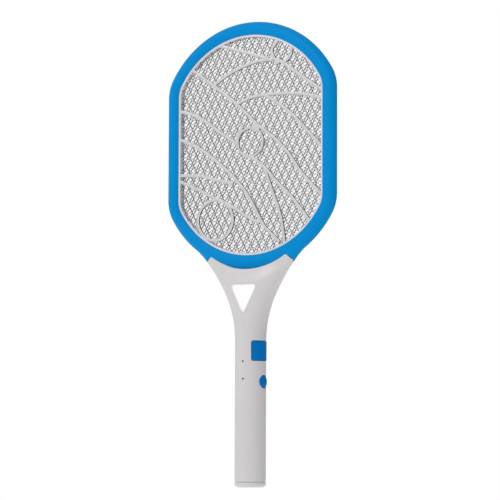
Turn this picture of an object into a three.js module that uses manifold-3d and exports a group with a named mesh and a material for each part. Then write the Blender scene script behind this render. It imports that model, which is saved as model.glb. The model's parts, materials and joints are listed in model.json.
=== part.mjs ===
// An electric fly swatter as an assembly of its separate pieces.
// Millimetres. +Z runs from the butt end of the handle to the top of the head, and the front faces -Y.
// The origin is the centre of the butt end. "Depth" below means the distance from the seam plane Y = 0,
// so a front piece lies at Y = -depth and a rear piece at Y = +depth.
import * as THREE from "three";
import { mergeVertices } from "three/addons/utils/BufferGeometryUtils.js";
import Module from "manifold-3d";

const wasm = await Module();
wasm.setup();

// ---- Driving dimensions -------------------------------------------------------------------------

const GAP = 0.3; // between two pieces that touch
const SEAM = 0.15; // half of the gap between the front and rear shells

// The opening of the head: two end arcs, four corner arcs that meet them tangentially, straight sides.
const OPENING = { halfWidth: 87.5, bottom: 242.4, top: 475.8, endRadius: 97.1, cornerRadius: 28 };
const RING_WIDTH = 14.2; // from the opening to the outside of the head
const RING_CROWN = 7.0; // greatest depth of each half of the ring

// The handle and its throat: superellipse sections that widen and flatten towards the head.
const HANDLE = { radius: 16.3, wall: 2.0, start: 5.8, top: 243 };
const FLARE = { start: 150, end: 238, power: 2.2, extraWidth: 37.2, squareness: 1.6 };
const SHOULDER = { middle: 224, softness: 5, thin: 7.2 };
const CUP = { radius: 76.6, centre: 304.3, earX: 44.9, earZ: 241.7, sideX: 52, sideZ: 235.6, earRound: 2.2 };

// Nets and grid: sheet depth range, and the pitch of their diamond holes.
const NET = { front: 4.1, back: 2.5, rim: 2.3, held: 3.8, pitchX: 27, pitchZ: 53.1, strand: 2.4 };
const GRID = { halfThickness: 0.3, held: 3.0, pitchX: 36.3, pitchZ: 29.6, strand: 2.6 };
const SPACER = { inner: -2.1, outer: 3.4 };

// Buttons on the +X side. The trigger tilts about a pin below its face.
const TRIGGER = {
  bottom: 131.75, top: 152.2, wrap: 57, proud: 0.35, thickness: 1.9, pivotX: 10.5, pivotZ: 128.5,
  pinRadius: 1.0, pinPlay: 0.05, hubRadius: 2.2, hubHalf: 4.2, round: 2.0, linkZ: 133.4, padZ: 144.2,
  springZ: 149.2, travel: 2,
};
const PUSH = {
  z: 109.9, radius: 6.9, face: 15.6, dome: 2.5, flangeRadius: 8.2, flangeX: 9.9, flangeThick: 1.0,
};

// Triangular lamp window on the throat, point down.
const LAMP = { top: 209.1, tip: 184.1, halfWidth: 13.35, bezel: 2.6, round: 1.6 };

// Inside the handle.
const BATTERY = { radius: 9.1, bottom: 23.5, length: 65 };
const BOARD = { left: -11.5, right: 7.5, front: -6.0, back: -4.4, bottom: 92.5, top: 172 };
const CAP = { spigotRadius: 14.0, spigotWall: 2.0, spigotTop: 11, floor: 2.2, fillet: 3.6 };
const SOCKET = { y: 6.0, half: 4.0, bore: 1.9, hole: 2.2, depth: 9, length: 12 };
const SCREW = { shaft: 1.3, pilot: 1.45, head: 2.4, headThick: 1.1, boss: 2.9 };
const HANDLE_SCREWS = [[-6.5, 18.2], [6.5, 18.2], [0, 178], [-20.5, 216], [20.5, 216]]; // X, Z
const FRAME_SCREW = {
  offset: 8.4, boss: 2.2, shaft: 1.0, pilot: 1.15, head: 1.9, headThick: 0.9, headDepth: 5.6,
};

const COLOURS = {
  blue: [0x0a86d6, 0.38, 0], buttonBlue: [0x0670bd, 0.35, 0], white: [0xdcdbdc, 0.32, 0],
  aluminium: [0xcfd1d2, 0.4, 0.8], spacer: [0xd0d0d8, 0.5, 0], lens: [0xffffff, 0.2, 0],
  ledClear: [0xe9eef2, 0.1, 0], ledRed: [0x8c4a3c, 0.25, 0], ledDark: [0x4a4a50, 0.25, 0],
  steel: [0xb8babd, 0.3, 1], black: [0x222326, 0.5, 0], board: [0x2c6b45, 0.6, 0],
  ferrite: [0x3b3d40, 0.7, 0], winding: [0xb5692e, 0.4, 0.4], capacitor: [0xa8382a, 0.5, 0],
  battery: [0x3a7a58, 0.4, 0], redLead: [0xb02a24, 0.5, 0], blackLead: [0x26272a, 0.5, 0],
  resistor: [0xc8b48c, 0.6, 0], brass: [0xc9a44c, 0.3, 1],
};

// ---- Solids -------------------------------------------------------------------------------------

// The signed volume of a triangle soup, positive when its faces point out.
function signedVolume(geometry) {
  const p = geometry.getAttribute("position");
  const index = geometry.index;
  const corner = [new THREE.Vector3(), new THREE.Vector3(), new THREE.Vector3()];
  let volume = 0;
  for (let i = 0; i < index.count; i += 3) {
    corner.forEach((v, k) => v.fromBufferAttribute(p, index.getX(i + k)));
    volume += corner[0].dot(corner[1].clone().cross(corner[2])) / 6;
  }
  return volume;
}

// Position-only geometry with shared vertices merged and its faces pointing out.
function tidy(geometry) {
  const bare = new THREE.BufferGeometry();
  bare.setAttribute("position", geometry.getAttribute("position"));
  bare.setIndex(geometry.index);
  const merged = mergeVertices(bare, 1e-4);
  const kept = [];
  const index = merged.index.array;
  for (let i = 0; i < index.length; i += 3) {
    const [a, b, c] = [index[i], index[i + 1], index[i + 2]];
    if (a !== b && b !== c && c !== a) kept.push(a, b, c);
  }
  merged.setIndex(kept);
  if (signedVolume(merged) < 0) {
    for (let i = 0; i < kept.length; i += 3) [kept[i + 1], kept[i + 2]] = [kept[i + 2], kept[i + 1]];
    merged.setIndex(kept);
  }
  return merged;
}

function solid(geometry) {
  const shape = tidy(geometry);
  return new wasm.Manifold(new wasm.Mesh({
    numProp: 3,
    vertProperties: new Float32Array(shape.getAttribute("position").array),
    triVerts: new Uint32Array(shape.index.array),
  }));
}

function geometryOf(manifold) {
  const mesh = manifold.getMesh();
  const geometry = new THREE.BufferGeometry();
  geometry.setAttribute("position", new THREE.BufferAttribute(new Float32Array(mesh.vertProperties), 3));
  geometry.setIndex(new THREE.BufferAttribute(new Uint32Array(mesh.triVerts), 1));
  return geometry;
}

// Joins a list of solids, and cuts a list of solids out of one.
const join = (solids) => solids.reduce((whole, next) => whole.add(next));
const cut = (body, tools) => tools.reduce((left, tool) => left.subtract(tool), body);

// A skin through a row of closed rings of points, with flat ends, or closed on itself where it is a loop.
function loft(rings, loop = false) {
  const size = rings[0].length;
  const positions = rings.flat().flatMap((p) => [p.x, p.y, p.z]);
  const index = [];
  const last = loop ? rings.length : rings.length - 1;
  for (let i = 0; i < last; i++) {
    const [a, b] = [i * size, ((i + 1) % rings.length) * size];
    for (let k = 0; k < size; k++) {
      const next = (k + 1) % size;
      index.push(a + k, a + next, b + k, a + next, b + next, b + k);
    }
  }
  if (!loop) {
    for (const end of [0, rings.length - 1]) {
      const flat = rings[end].map((p) => new THREE.Vector2(p.x, p.y));
      const turn = (end === 0) === THREE.ShapeUtils.isClockWise(flat) ? [0, 1, 2] : [0, 2, 1];
      for (const triangle of THREE.ShapeUtils.triangulateShape(flat, [])) {
        index.push(...turn.map((k) => end * size + triangle[k]));
      }
    }
  }
  const geometry = new THREE.BufferGeometry();
  geometry.setAttribute("position", new THREE.Float32BufferAttribute(positions, 3));
  geometry.setIndex(index);
  return geometry;
}

// A shape drawn in X and Z, given thickness between two depths on the front (side -1) or rear (side 1).
function plate(shape, nearDepth, farDepth, side = -1, curveSegments = 12) {
  const geometry = new THREE.ExtrudeGeometry(shape, {
    depth: farDepth - nearDepth, bevelEnabled: false, curveSegments,
  });
  geometry.rotateX(Math.PI / 2); // the shape's y becomes Z, and its depth runs towards -Y
  geometry.translate(0, side < 0 ? -nearDepth : farDepth, 0);
  return solid(geometry);
}

function box(x0, x1, y0, y1, z0, z1) {
  const geometry = new THREE.BoxGeometry(x1 - x0, y1 - y0, z1 - z0);
  geometry.translate((x0 + x1) / 2, (y0 + y1) / 2, (z0 + z1) / 2);
  return solid(geometry);
}

// A turned piece: profile points are [radius, distance along the axis], from axis to axis.
function turned(profile, axis, origin, segments = 16) {
  const points = profile.map(([r, h]) => new THREE.Vector2(r, h));
  const geometry = new THREE.LatheGeometry(points, segments);
  const turn = new THREE.Quaternion().setFromUnitVectors(new THREE.Vector3(0, 1, 0), axis);
  geometry.applyQuaternion(turn).translate(origin.x, origin.y, origin.z);
  return solid(geometry);
}

const AXIS = {
  x: new THREE.Vector3(1, 0, 0), back: new THREE.Vector3(0, 1, 0),
  front: new THREE.Vector3(0, -1, 0), z: new THREE.Vector3(0, 0, 1),
};
const at = (x, y, z) => new THREE.Vector3(x, y, z);

function rod(radius, from, to, axis, origin, segments = 16) {
  return turned([[0, from], [radius, from], [radius, to], [0, to]], axis, origin, segments);
}

// A tube of regular section along a smooth curve through the given points.
function tube(points, radius, steps, sides = 6) {
  const section = new THREE.Shape();
  for (let k = 0; k < sides; k++) {
    const angle = (2 * Math.PI * k) / sides;
    const corner = [radius * Math.cos(angle), radius * Math.sin(angle)];
    if (k) section.lineTo(...corner);
    else section.moveTo(...corner);
  }
  section.closePath();
  const path = new THREE.CatmullRomCurve3(points, false, "centripetal");
  return solid(new THREE.ExtrudeGeometry(section, { steps, bevelEnabled: false, extrudePath: path }));
}

// ---- The head's outline -------------------------------------------------------------------------

const CORNER_X = OPENING.halfWidth - OPENING.cornerRadius;
const CORNER_DROP = Math.sqrt((OPENING.endRadius - OPENING.cornerRadius) ** 2 - CORNER_X ** 2);
const CORNER_SWEEP = Math.atan2(CORNER_DROP, CORNER_X);
const TOP_CENTRE = OPENING.top - OPENING.endRadius;
const BOTTOM_CENTRE = OPENING.bottom + OPENING.endRadius;

// Frame screws: two up each side, and one each side of the top.
const FRAME_SCREW_RADIUS = OPENING.endRadius + FRAME_SCREW.offset;
const FRAME_SCREW_PLACES = [-1, 1].flatMap((side) => [
  [side * (OPENING.halfWidth + FRAME_SCREW.offset), 318],
  [side * (OPENING.halfWidth + FRAME_SCREW.offset), 398],
  [side * FRAME_SCREW_RADIUS * 0.5, TOP_CENTRE + FRAME_SCREW_RADIUS * Math.sqrt(0.75)],
]);

// The six arcs of the outline, anticlockwise seen from the front, as [centre x, centre z, radius, from, to].
function outlineArcs(offset) {
  const corner = OPENING.cornerRadius + offset;
  const end = OPENING.endRadius + offset;
  const [low, high] = [BOTTOM_CENTRE - CORNER_DROP, TOP_CENTRE + CORNER_DROP];
  return [
    [CORNER_X, high, corner, 0, CORNER_SWEEP],
    [0, TOP_CENTRE, end, CORNER_SWEEP, Math.PI - CORNER_SWEEP],
    [-CORNER_X, high, corner, Math.PI - CORNER_SWEEP, Math.PI],
    [-CORNER_X, low, corner, Math.PI, Math.PI + CORNER_SWEEP],
    [0, BOTTOM_CENTRE, end, Math.PI + CORNER_SWEEP, 2 * Math.PI - CORNER_SWEEP],
    [CORNER_X, low, corner, 2 * Math.PI - CORNER_SWEEP, 2 * Math.PI],
  ];
}

function headShape(offset) {
  const shape = new THREE.Shape();
  for (const [x, z, radius, from, to] of outlineArcs(offset)) shape.absarc(x, z, radius, from, to, false);
  shape.closePath();
  return shape;
}

// Points on the opening's edge with their outward direction, and how far each is from the yoke's middle.
const CORNER_STEPS = 3;
const END_STEPS = 16;
function stations() {
  const found = [];
  outlineArcs(0).forEach(([x, z, radius, from, to], arc) => {
    const isEnd = arc === 1 || arc === 4;
    const steps = isEnd ? END_STEPS : CORNER_STEPS;
    for (let i = 0; i <= steps; i++) {
      if (i === 0 && isEnd) continue;
      if (i === steps && isEnd) continue;
      const angle = from + ((to - from) * i) / steps;
      const out = new THREE.Vector2(Math.cos(angle), Math.sin(angle));
      const yoke = arc === 4 ? Math.abs(angle - 1.5 * Math.PI) : Infinity;
      found.push({ point: new THREE.Vector2(x + radius * out.x, z + radius * out.y), out, yoke });
    }
  });
  return found;
}

// The ring widens into a tongue below the opening: its width against the angle from straight down.
const degrees = THREE.MathUtils.degToRad;
const TONGUE = [
  [0, 34], [13.5, 34], [20.5, 23.5], [23.5, 17.5], [26.6, 19.1], [30, 16.3], [34.5, RING_WIDTH],
].map(([angle, width]) => [degrees(angle), width]);

function ringWidth(yoke) {
  if (yoke >= TONGUE[TONGUE.length - 1][0]) return RING_WIDTH;
  const next = TONGUE.findIndex(([angle]) => angle > yoke);
  const [[a, before], [b, after]] = [TONGUE[next - 1], TONGUE[next]];
  return before + ((after - before) * (yoke - a)) / (b - a);
}

// The ring's profile as [distance out from the opening, depth]: the skin outside, then the channel inside.
const STRETCH_FROM = 9.5;
const RING_OUTSIDE = [
  [0, 4.4], [0, 4.9], [1.2, 5.9], [3.6, 6.75], [6.5, RING_CROWN], [9.5, 6.4], [12.2, 4.7], [13.7, 2.5],
  [RING_WIDTH, SEAM],
];
const RING_CHANNEL = [[12.5, SEAM], [11.2, 3.3], [9.0, 4.9], [5.2, 5.3], [4.4, 4.4]];

function ringSkin(profile, side) {
  const rings = stations().map(({ point, out, yoke }) => {
    const stretch = (ringWidth(yoke) - STRETCH_FROM) / (RING_WIDTH - STRETCH_FROM);
    return profile.map(([u, depth]) => {
      const reach = u <= STRETCH_FROM ? u : STRETCH_FROM + (u - STRETCH_FROM) * stretch;
      return at(point.x + out.x * reach, side * depth, point.y + out.y * reach);
    });
  });
  return solid(loft(rings, true));
}

// What the ring half takes up, with its gap, for cutting the handle shells to fit it.
function ringEnvelope(side) {
  const grown = RING_OUTSIDE.slice(1).map(([u, depth]) => [u + (u > STRETCH_FROM ? GAP : 0), depth + GAP]);
  return ringSkin([[-1, -1], [-1, 5.2], ...grown, [RING_WIDTH + GAP, -1]], side);
}

// ---- The handle's sections ----------------------------------------------------------------------

const flare = (z) => Math.max(0, (z - FLARE.start) / (FLARE.end - FLARE.start)) ** FLARE.power;

// Half the depth front to rear: round as far as the lamp, then a soft shoulder down to the ring's depth.
const halfDepthAt = (z) => SHOULDER.thin
  + (HANDLE.radius - SHOULDER.thin) / (1 + Math.exp((z - SHOULDER.middle) / SHOULDER.softness));

function handleSection(z, inset) {
  const share = flare(z);
  return {
    halfWidth: HANDLE.radius + FLARE.extraWidth * share - inset,
    halfDepth: halfDepthAt(z) - inset,
    power: 2 / (2 + FLARE.squareness * Math.min(share, 1)),
  };
}

const signedPower = (value, power) => Math.sign(value) * Math.abs(value) ** power;

function sectionPoint(section, angle, z, side) {
  const x = section.halfWidth * signedPower(Math.cos(angle), section.power);
  const depth = Math.max(SEAM, section.halfDepth * Math.abs(Math.sin(angle)) ** section.power);
  return at(x, side * depth, z);
}

// Depth of the handle's outer face at a place on it.
function faceDepth(x, z, inset = 0) {
  const { halfWidth, halfDepth, power } = handleSection(z, inset);
  return halfDepth * (1 - Math.abs(x / halfWidth) ** (2 / power)) ** (power / 2);
}

const SHELL_LEVELS = [
  HANDLE.start, 60, 110, 150, 162, 172, 181, 189, 197, 205, 213, 221, 229, 236, HANDLE.top,
];
const HALF_ROUND = 12;

// A half shell between an outer and an inner inset, open at the seam and at both ends.
function shellSkin(side, outerInset, innerInset) {
  const rings = SHELL_LEVELS.map((z) => {
    const angles = Array.from({ length: HALF_ROUND + 1 }, (_, i) => (Math.PI * i) / HALF_ROUND);
    const line = (inset) => angles.map((angle) => sectionPoint(handleSection(z, inset), angle, z, side));
    return [...line(outerInset), ...line(innerInset).reverse()];
  });
  return solid(loft(rings));
}

// The solid half handle, inset from its outer face.
function handleCore(side, inset) {
  const rings = SHELL_LEVELS.map((z) => {
    const angles = Array.from({ length: HALF_ROUND + 1 }, (_, i) => (Math.PI * i) / HALF_ROUND);
    return angles.map((angle) => sectionPoint(handleSection(z, inset), angle, z, side));
  });
  return solid(loft(rings));
}

// Everything above the cup and its two ears, seen from the front.
function cupCutter() {
  const shape = new THREE.Shape();
  const reach = 80;
  const slope = (CUP.earZ - CUP.sideZ) / (CUP.earX - CUP.sideX);
  const earAngle = Math.atan2(CUP.earZ - CUP.centre, CUP.earX);
  const sideEnd = CUP.earZ + slope * (reach - CUP.earX);
  shape.moveTo(-reach, sideEnd);
  shape.lineTo(-CUP.earX - CUP.earRound, CUP.earZ + slope * CUP.earRound);
  shape.absarc(0, CUP.centre, CUP.radius, Math.PI - earAngle, earAngle, false);
  shape.lineTo(CUP.earX + CUP.earRound, CUP.earZ + slope * CUP.earRound);
  shape.lineTo(reach, sideEnd);
  shape.lineTo(reach, HANDLE.top + 40);
  shape.lineTo(-reach, HANDLE.top + 40);
  shape.closePath();
  return plate(shape, -30, 30, -1, 24);
}

// ---- Holes shared by several pieces -------------------------------------------------------------

// The lamp's triangle, grown by a margin.
function lampShape(margin) {
  const top = LAMP.top + margin;
  const tip = LAMP.tip - margin * 2;
  const half = LAMP.halfWidth + margin * 1.6;
  const r = LAMP.round + margin * 0.4;
  const shape = new THREE.Shape();
  shape.moveTo(-half + 2 * r, top);
  shape.lineTo(half - 2 * r, top);
  shape.quadraticCurveTo(half, top, half - 0.9 * r, top - 1.8 * r);
  shape.lineTo(0.9 * r, tip + 1.8 * r);
  shape.quadraticCurveTo(0, tip, -0.9 * r, tip + 1.8 * r);
  shape.lineTo(-half + 0.9 * r, top - 1.8 * r);
  shape.quadraticCurveTo(-half, top, -half + 2 * r, top);
  return shape;
}
const lampPrism = (margin) => plate(lampShape(margin), 5, 25, -1, 3);

// The trigger's place on the +X side: a band between two radii, with its corners rounded.
function triggerBand(inner, outer, clearance) {
  const reach = degrees(TRIGGER.wrap) + clearance / HANDLE.radius;
  const arc = new THREE.Shape();
  arc.absarc(0, 0, outer, -reach, reach, false);
  arc.absarc(0, 0, inner, reach, -reach, true);
  const height = TRIGGER.top - TRIGGER.bottom + 2 * clearance;
  const band = new THREE.ExtrudeGeometry(arc, { depth: height, bevelEnabled: false, curveSegments: 18 });
  band.translate(0, 0, TRIGGER.bottom - clearance);
  const halfY = Math.sin(reach) * (HANDLE.radius + TRIGGER.proud);
  const [low, high] = [TRIGGER.bottom - clearance, TRIGGER.top + clearance];
  const shape = new THREE.Shape();
  const r = TRIGGER.round;
  shape.moveTo(-halfY + r, low);
  shape.lineTo(halfY - r, low);
  shape.quadraticCurveTo(halfY, low, halfY, low + r);
  shape.lineTo(halfY, high - r);
  shape.quadraticCurveTo(halfY, high, halfY - r, high);
  shape.lineTo(-halfY + r, high);
  shape.quadraticCurveTo(-halfY, high, -halfY, high - r);
  shape.lineTo(-halfY, low + r);
  shape.quadraticCurveTo(-halfY, low, -halfY + r, low);
  const face = new THREE.ExtrudeGeometry(shape, { depth: 20, bevelEnabled: false, curveSegments: 2 });
  face.rotateX(Math.PI / 2).rotateZ(Math.PI / 2).translate(4, 0, 0);
  return solid(band).intersect(solid(face));
}

const indicatorPlaces = { charge: 131, power: 112.8 };
const INDICATOR = { hole: 1.15, dome: 1.0, body: 1.7 };

// The opening for the trigger: its band with a gap round it, at rest and pressed.
function triggerSlot() {
  const rest = triggerBand(HANDLE.radius - HANDLE.wall - 0.6, 30, 0.4);
  const pressed = rest.translate([-TRIGGER.pivotX, 0, -TRIGGER.pivotZ])
    .rotate([0, -TRIGGER.travel, 0]).translate([TRIGGER.pivotX, 0, TRIGGER.pivotZ]);
  return [rest, pressed];
}

// ---- The shells ---------------------------------------------------------------------------------

const PIN_HALF = 8.6; // half the length of the trigger's hinge pin

function handleShell(side) {
  const away = side < 0 ? AXIS.front : AXIS.back;
  const pivot = at(TRIGGER.pivotX, 0, TRIGGER.pivotZ);
  const bosses = join([
    ...HANDLE_SCREWS.map(([x, z]) => rod(SCREW.boss, SEAM, HANDLE.radius, away, at(x, 0, z), 10)),
    rod(TRIGGER.hubRadius, TRIGGER.hubHalf + GAP, HANDLE.radius, away, pivot, 12),
  ]).intersect(handleCore(side, HANDLE.wall / 2));
  const body = shellSkin(side, 0, HANDLE.wall).add(bosses);
  const tools = [
    cupCutter(),
    ringEnvelope(side),
    rod(TRIGGER.pinRadius + TRIGGER.pinPlay, 0, PIN_HALF + GAP, away, pivot, 12),
    ...triggerSlot(),
    rod(PUSH.radius + GAP, 10, 30, AXIS.x, at(0, 0, PUSH.z), 24),
  ];
  if (side < 0) {
    tools.push(lampPrism(LAMP.bezel + GAP));
    for (const z of Object.values(indicatorPlaces)) {
      tools.push(rod(INDICATOR.hole, 10, 20, AXIS.front, at(0, 0, z), 12));
    }
    for (const [x, z] of HANDLE_SCREWS) {
      tools.push(rod(SCREW.pilot, -1, 7, AXIS.front, at(x, 0, z), 8));
    }
  } else {
    for (const [x, z] of HANDLE_SCREWS) {
      const seat = faceDepth(x, z) - SCREW.headThick - 0.9;
      tools.push(rod(SCREW.pilot, -1, 20, AXIS.back, at(x, 0, z), 8));
      tools.push(rod(SCREW.head + 0.25, seat, 20, AXIS.back, at(x, 0, z), 12));
    }
  }
  return cut(body, tools);
}

function frameHalf(side) {
  const away = side < 0 ? AXIS.front : AXIS.back;
  const bosses = FRAME_SCREW_PLACES.map(([x, z]) => rod(FRAME_SCREW.boss, SEAM, 5.6, away, at(x, 0, z), 8));
  const body = join([ringSkin([...RING_OUTSIDE, ...RING_CHANNEL], side), ...bosses]);
  const tools = [
    box(-6, 6, -3, 3, BOTTOM_CENTRE - OPENING.endRadius - 40, BOTTOM_CENTRE - OPENING.endRadius - 8),
    ...HANDLE_SCREWS.filter(([, z]) => z > 200).map(([x, z]) =>
      rod(SCREW.boss + GAP, -10, 10, AXIS.back, at(x, 0, z), 12)),
  ];
  for (const [x, z] of FRAME_SCREW_PLACES) {
    if (side < 0) {
      tools.push(rod(FRAME_SCREW.pilot, -1, 3.9, away, at(x, 0, z), 8));
    } else {
      tools.push(rod(FRAME_SCREW.pilot, -1, 10, away, at(x, 0, z), 8));
      const seat = FRAME_SCREW.headDepth - FRAME_SCREW.headThick;
      tools.push(rod(FRAME_SCREW.head + 0.2, seat, 12, away, at(x, 0, z), 10));
    }
  }
  return cut(body, tools);
}

// ---- Nets, grid and spacers ---------------------------------------------------------------------

// Every diamond hole of a lattice that lies in the opening, trimmed to it.
function latticeHoles(pitchX, pitchZ, strand, margin, nearDepth, farDepth) {
  const shapes = [];
  const slope = Math.atan2(pitchZ, pitchX);
  const cutX = strand / 2 / Math.sin(slope);
  const [halfX, halfZ] = [pitchX / 2 - cutX, (pitchZ / 2) * (1 - cutX / (pitchX / 2))];
  const [midZ, reachX, reachZ] = [(OPENING.top + OPENING.bottom) / 2, OPENING.halfWidth, 120];
  const inside = new THREE.Vector2();
  const room = (x, z) => {
    const endZ = z > midZ ? TOP_CENTRE : BOTTOM_CENTRE;
    const out = inside.set(x, z - endZ).length();
    const beyondArc = Math.abs(z - midZ) > Math.abs(endZ - midZ);
    return Math.min(OPENING.halfWidth - Math.abs(x), beyondArc ? OPENING.endRadius - out : Infinity);
  };
  for (let i = -Math.ceil(reachX / (pitchX / 2)); i <= reachX / (pitchX / 2); i++) {
    for (let k = -Math.ceil(reachZ / (pitchZ / 2)); k <= reachZ / (pitchZ / 2); k++) {
      const [x, z] = [(i * pitchX) / 2, midZ + (k * pitchZ) / 2];
      if ((i + k) % 2 || room(x, z) < margin - halfX * 0.35) continue;
      const diamond = new THREE.Shape();
      diamond.moveTo(x + halfX, z);
      diamond.lineTo(x, z + halfZ);
      diamond.lineTo(x - halfX, z);
      diamond.lineTo(x, z - halfZ);
      diamond.closePath();
      shapes.push(diamond);
    }
  }
  const opening = plate(headShape(-margin), nearDepth - 1, farDepth + 1, -1, 6);
  return plate(shapes, nearDepth - 1, farDepth + 1).intersect(opening);
}

function net(side) {
  const sheet = plate(headShape(NET.held), NET.back, NET.front, side, 8);
  const holes = latticeHoles(NET.pitchX, NET.pitchZ, NET.strand, NET.rim, -NET.front, NET.front);
  return sheet.subtract(holes);
}

function shockGrid() {
  const t = GRID.halfThickness;
  const sheet = plate(headShape(GRID.held), -t, t, -1, 8);
  return sheet.subtract(latticeHoles(GRID.pitchX, GRID.pitchZ, GRID.strand, NET.rim, -t, t));
}

function spacerRing(side) {
  const [near, far] = [GRID.halfThickness + GAP, NET.back - GAP];
  return plate(headShape(SPACER.outer), near, far, side, 5)
    .subtract(plate(headShape(SPACER.inner), near - 1, far + 1, side, 5));
}

// ---- Butt end and charging ----------------------------------------------------------------------

function buttCap() {
  const fillet = Array.from({ length: 6 }, (_, i) => {
    const angle = ((i / 5) * Math.PI) / 2;
    return [HANDLE.radius - CAP.fillet * (1 - Math.sin(angle)), CAP.fillet * (1 - Math.cos(angle))];
  });
  const inner = CAP.spigotRadius - CAP.spigotWall;
  const profile = [
    [0, 0], ...fillet, [HANDLE.radius, HANDLE.start - GAP], [CAP.spigotRadius, HANDLE.start - GAP],
    [CAP.spigotRadius, CAP.spigotTop], [inner, CAP.spigotTop], [inner, CAP.floor], [0, CAP.floor],
  ];
  const body = turned(profile, AXIS.z, at(0, 0, 0), 24);
  return body.subtract(rod(SOCKET.hole, -1, 5, AXIS.z, at(0, SOCKET.y, 0), 16));
}

function chargingSocket() {
  const base = CAP.floor + GAP;
  const body = box(-SOCKET.half, SOCKET.half, SOCKET.y - SOCKET.half, SOCKET.y + SOCKET.half,
    base, base + SOCKET.length);
  return body.subtract(rod(SOCKET.bore, base - 1, base + SOCKET.depth, AXIS.z, at(0, SOCKET.y, 0), 16));
}

// ---- Buttons ------------------------------------------------------------------------------------

const SWITCH = {
  plungerRadius: 1.1, triggerFace: 7.9, padX: 10.4, latchFace: 4.4, seatFace: 7.4, seatHalf: 2.4,
};

function triggerButton() {
  const { pivotX, pivotZ, hubRadius, hubHalf, linkZ, padZ } = TRIGGER;
  const outer = HANDLE.radius + TRIGGER.proud;
  const inner = outer - TRIGGER.thickness;
  const pivot = at(pivotX, 0, pivotZ);
  const face = triggerBand(inner, outer, 0);
  const hub = rod(hubRadius, -hubHalf, hubHalf, AXIS.back, pivot, 16);
  const arm = box(pivotX - 1, pivotX + 1.8, -hubHalf, hubHalf, pivotZ, linkZ + 1);
  const link = box(pivotX - 1, inner + 0.6, -hubHalf, hubHalf, linkZ - 1, linkZ + 1);
  const pad = box(SWITCH.padX, inner + 0.6, -2, 2, padZ - 1, padZ + 1);
  return join([face, hub, arm, link, pad])
    .subtract(rod(TRIGGER.pinRadius + TRIGGER.pinPlay, -hubHalf - 1, hubHalf + 1, AXIS.back, pivot, 16));
}

// A switch box on the rear of the circuit board, facing +X, with a bore for its plunger.
function switchBody(width, toX, halfY, z, halfZ) {
  const body = box(toX - width, toX, BOARD.back + GAP, halfY, z - halfZ, z + halfZ);
  return body.subtract(rod(SWITCH.plungerRadius + 0.25, toX - 2.9, toX + 1, AXIS.x, at(0, 0, z), 10));
}

// Profile of the round button, out along +X: flange, wall and low dome.
function pushButton() {
  const { radius, face, dome, flangeRadius, flangeX, flangeThick } = PUSH;
  const sphere = (radius ** 2 + dome ** 2) / (2 * dome);
  const domePoints = Array.from({ length: 5 }, (_, i) => {
    const r = radius * (1 - (i + 1) / 6);
    return [r, face + Math.sqrt(sphere ** 2 - r ** 2) - (sphere - dome)];
  });
  return turned([
    [0, flangeX], [flangeRadius, flangeX], [flangeRadius, flangeX + flangeThick],
    [radius, flangeX + flangeThick], [radius, face], ...domePoints, [0, face + dome],
  ], AXIS.x, at(0, 0, PUSH.z), 24);
}

// A part with wire ends, lying along X: half lengths of its body and of its wires.
function axialPart(radius, halfBody, halfWire, origin) {
  const wire = 0.35;
  return turned([
    [0, -halfWire], [wire, -halfWire], [wire, -halfBody], [radius, -halfBody],
    [radius, halfBody], [wire, halfBody], [wire, halfWire], [0, halfWire],
  ], AXIS.x, origin, 10);
}

// A helical spring along X.
function coil(radius, wire, from, to, turns, z) {
  const count = Math.round(turns * 9);
  const points = Array.from({ length: count + 1 }, (_, i) => {
    const angle = (i / 9) * 2 * Math.PI;
    return at(from + ((to - from) * i) / count, radius * Math.cos(angle), z + radius * Math.sin(angle));
  });
  return tube(points, wire, count, 5);
}

// ---- The assembly -------------------------------------------------------------------------------

const swatter = new THREE.Group();

function add(name, colour, body, group = swatter) {
  const [tint, roughness, metalness] = COLOURS[colour];
  const material = new THREE.MeshStandardMaterial({ color: tint, roughness, metalness });
  const mesh = new THREE.Mesh(geometryOf(body), material);
  mesh.name = name;
  group.add(mesh);
}

// Head.
const head = new THREE.Group();
swatter.add(head);
add("front_frame", "blue", frameHalf(-1), head);
add("rear_frame", "blue", frameHalf(1), head);
add("front_net", "aluminium", net(-1), head);
add("rear_net", "aluminium", net(1), head);
add("shock_grid", "aluminium", shockGrid(), head);
add("front_spacer_ring", "spacer", spacerRing(-1), head);
add("rear_spacer_ring", "spacer", spacerRing(1), head);
FRAME_SCREW_PLACES.forEach(([x, z], i) => {
  const seat = FRAME_SCREW.headDepth - FRAME_SCREW.headThick + 0.05;
  const screw = turned([
    [0, -3.4], [FRAME_SCREW.shaft, -3.4], [FRAME_SCREW.shaft, seat], [FRAME_SCREW.head, seat],
    [FRAME_SCREW.head, seat + 0.5], [0, seat + FRAME_SCREW.headThick],
  ], AXIS.back, at(x, 0, z), 10);
  add(`frame_screw_${i + 1}`, "steel", screw, head);
});

// Handle.
add("front_handle_shell", "white", handleShell(-1));
add("rear_handle_shell", "white", handleShell(1));
add("butt_cap", "white", buttCap());
HANDLE_SCREWS.forEach(([x, z], i) => {
  const seat = faceDepth(x, z) - SCREW.headThick - 0.85;
  const screw = turned([
    [0, -6.4], [SCREW.shaft, -5.4], [SCREW.shaft, seat], [SCREW.head, seat],
    [SCREW.head, seat + 0.6], [0, seat + SCREW.headThick],
  ], AXIS.back, at(x, 0, z), 12);
  add(`handle_screw_${i + 1}`, "steel", screw);
});

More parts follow.
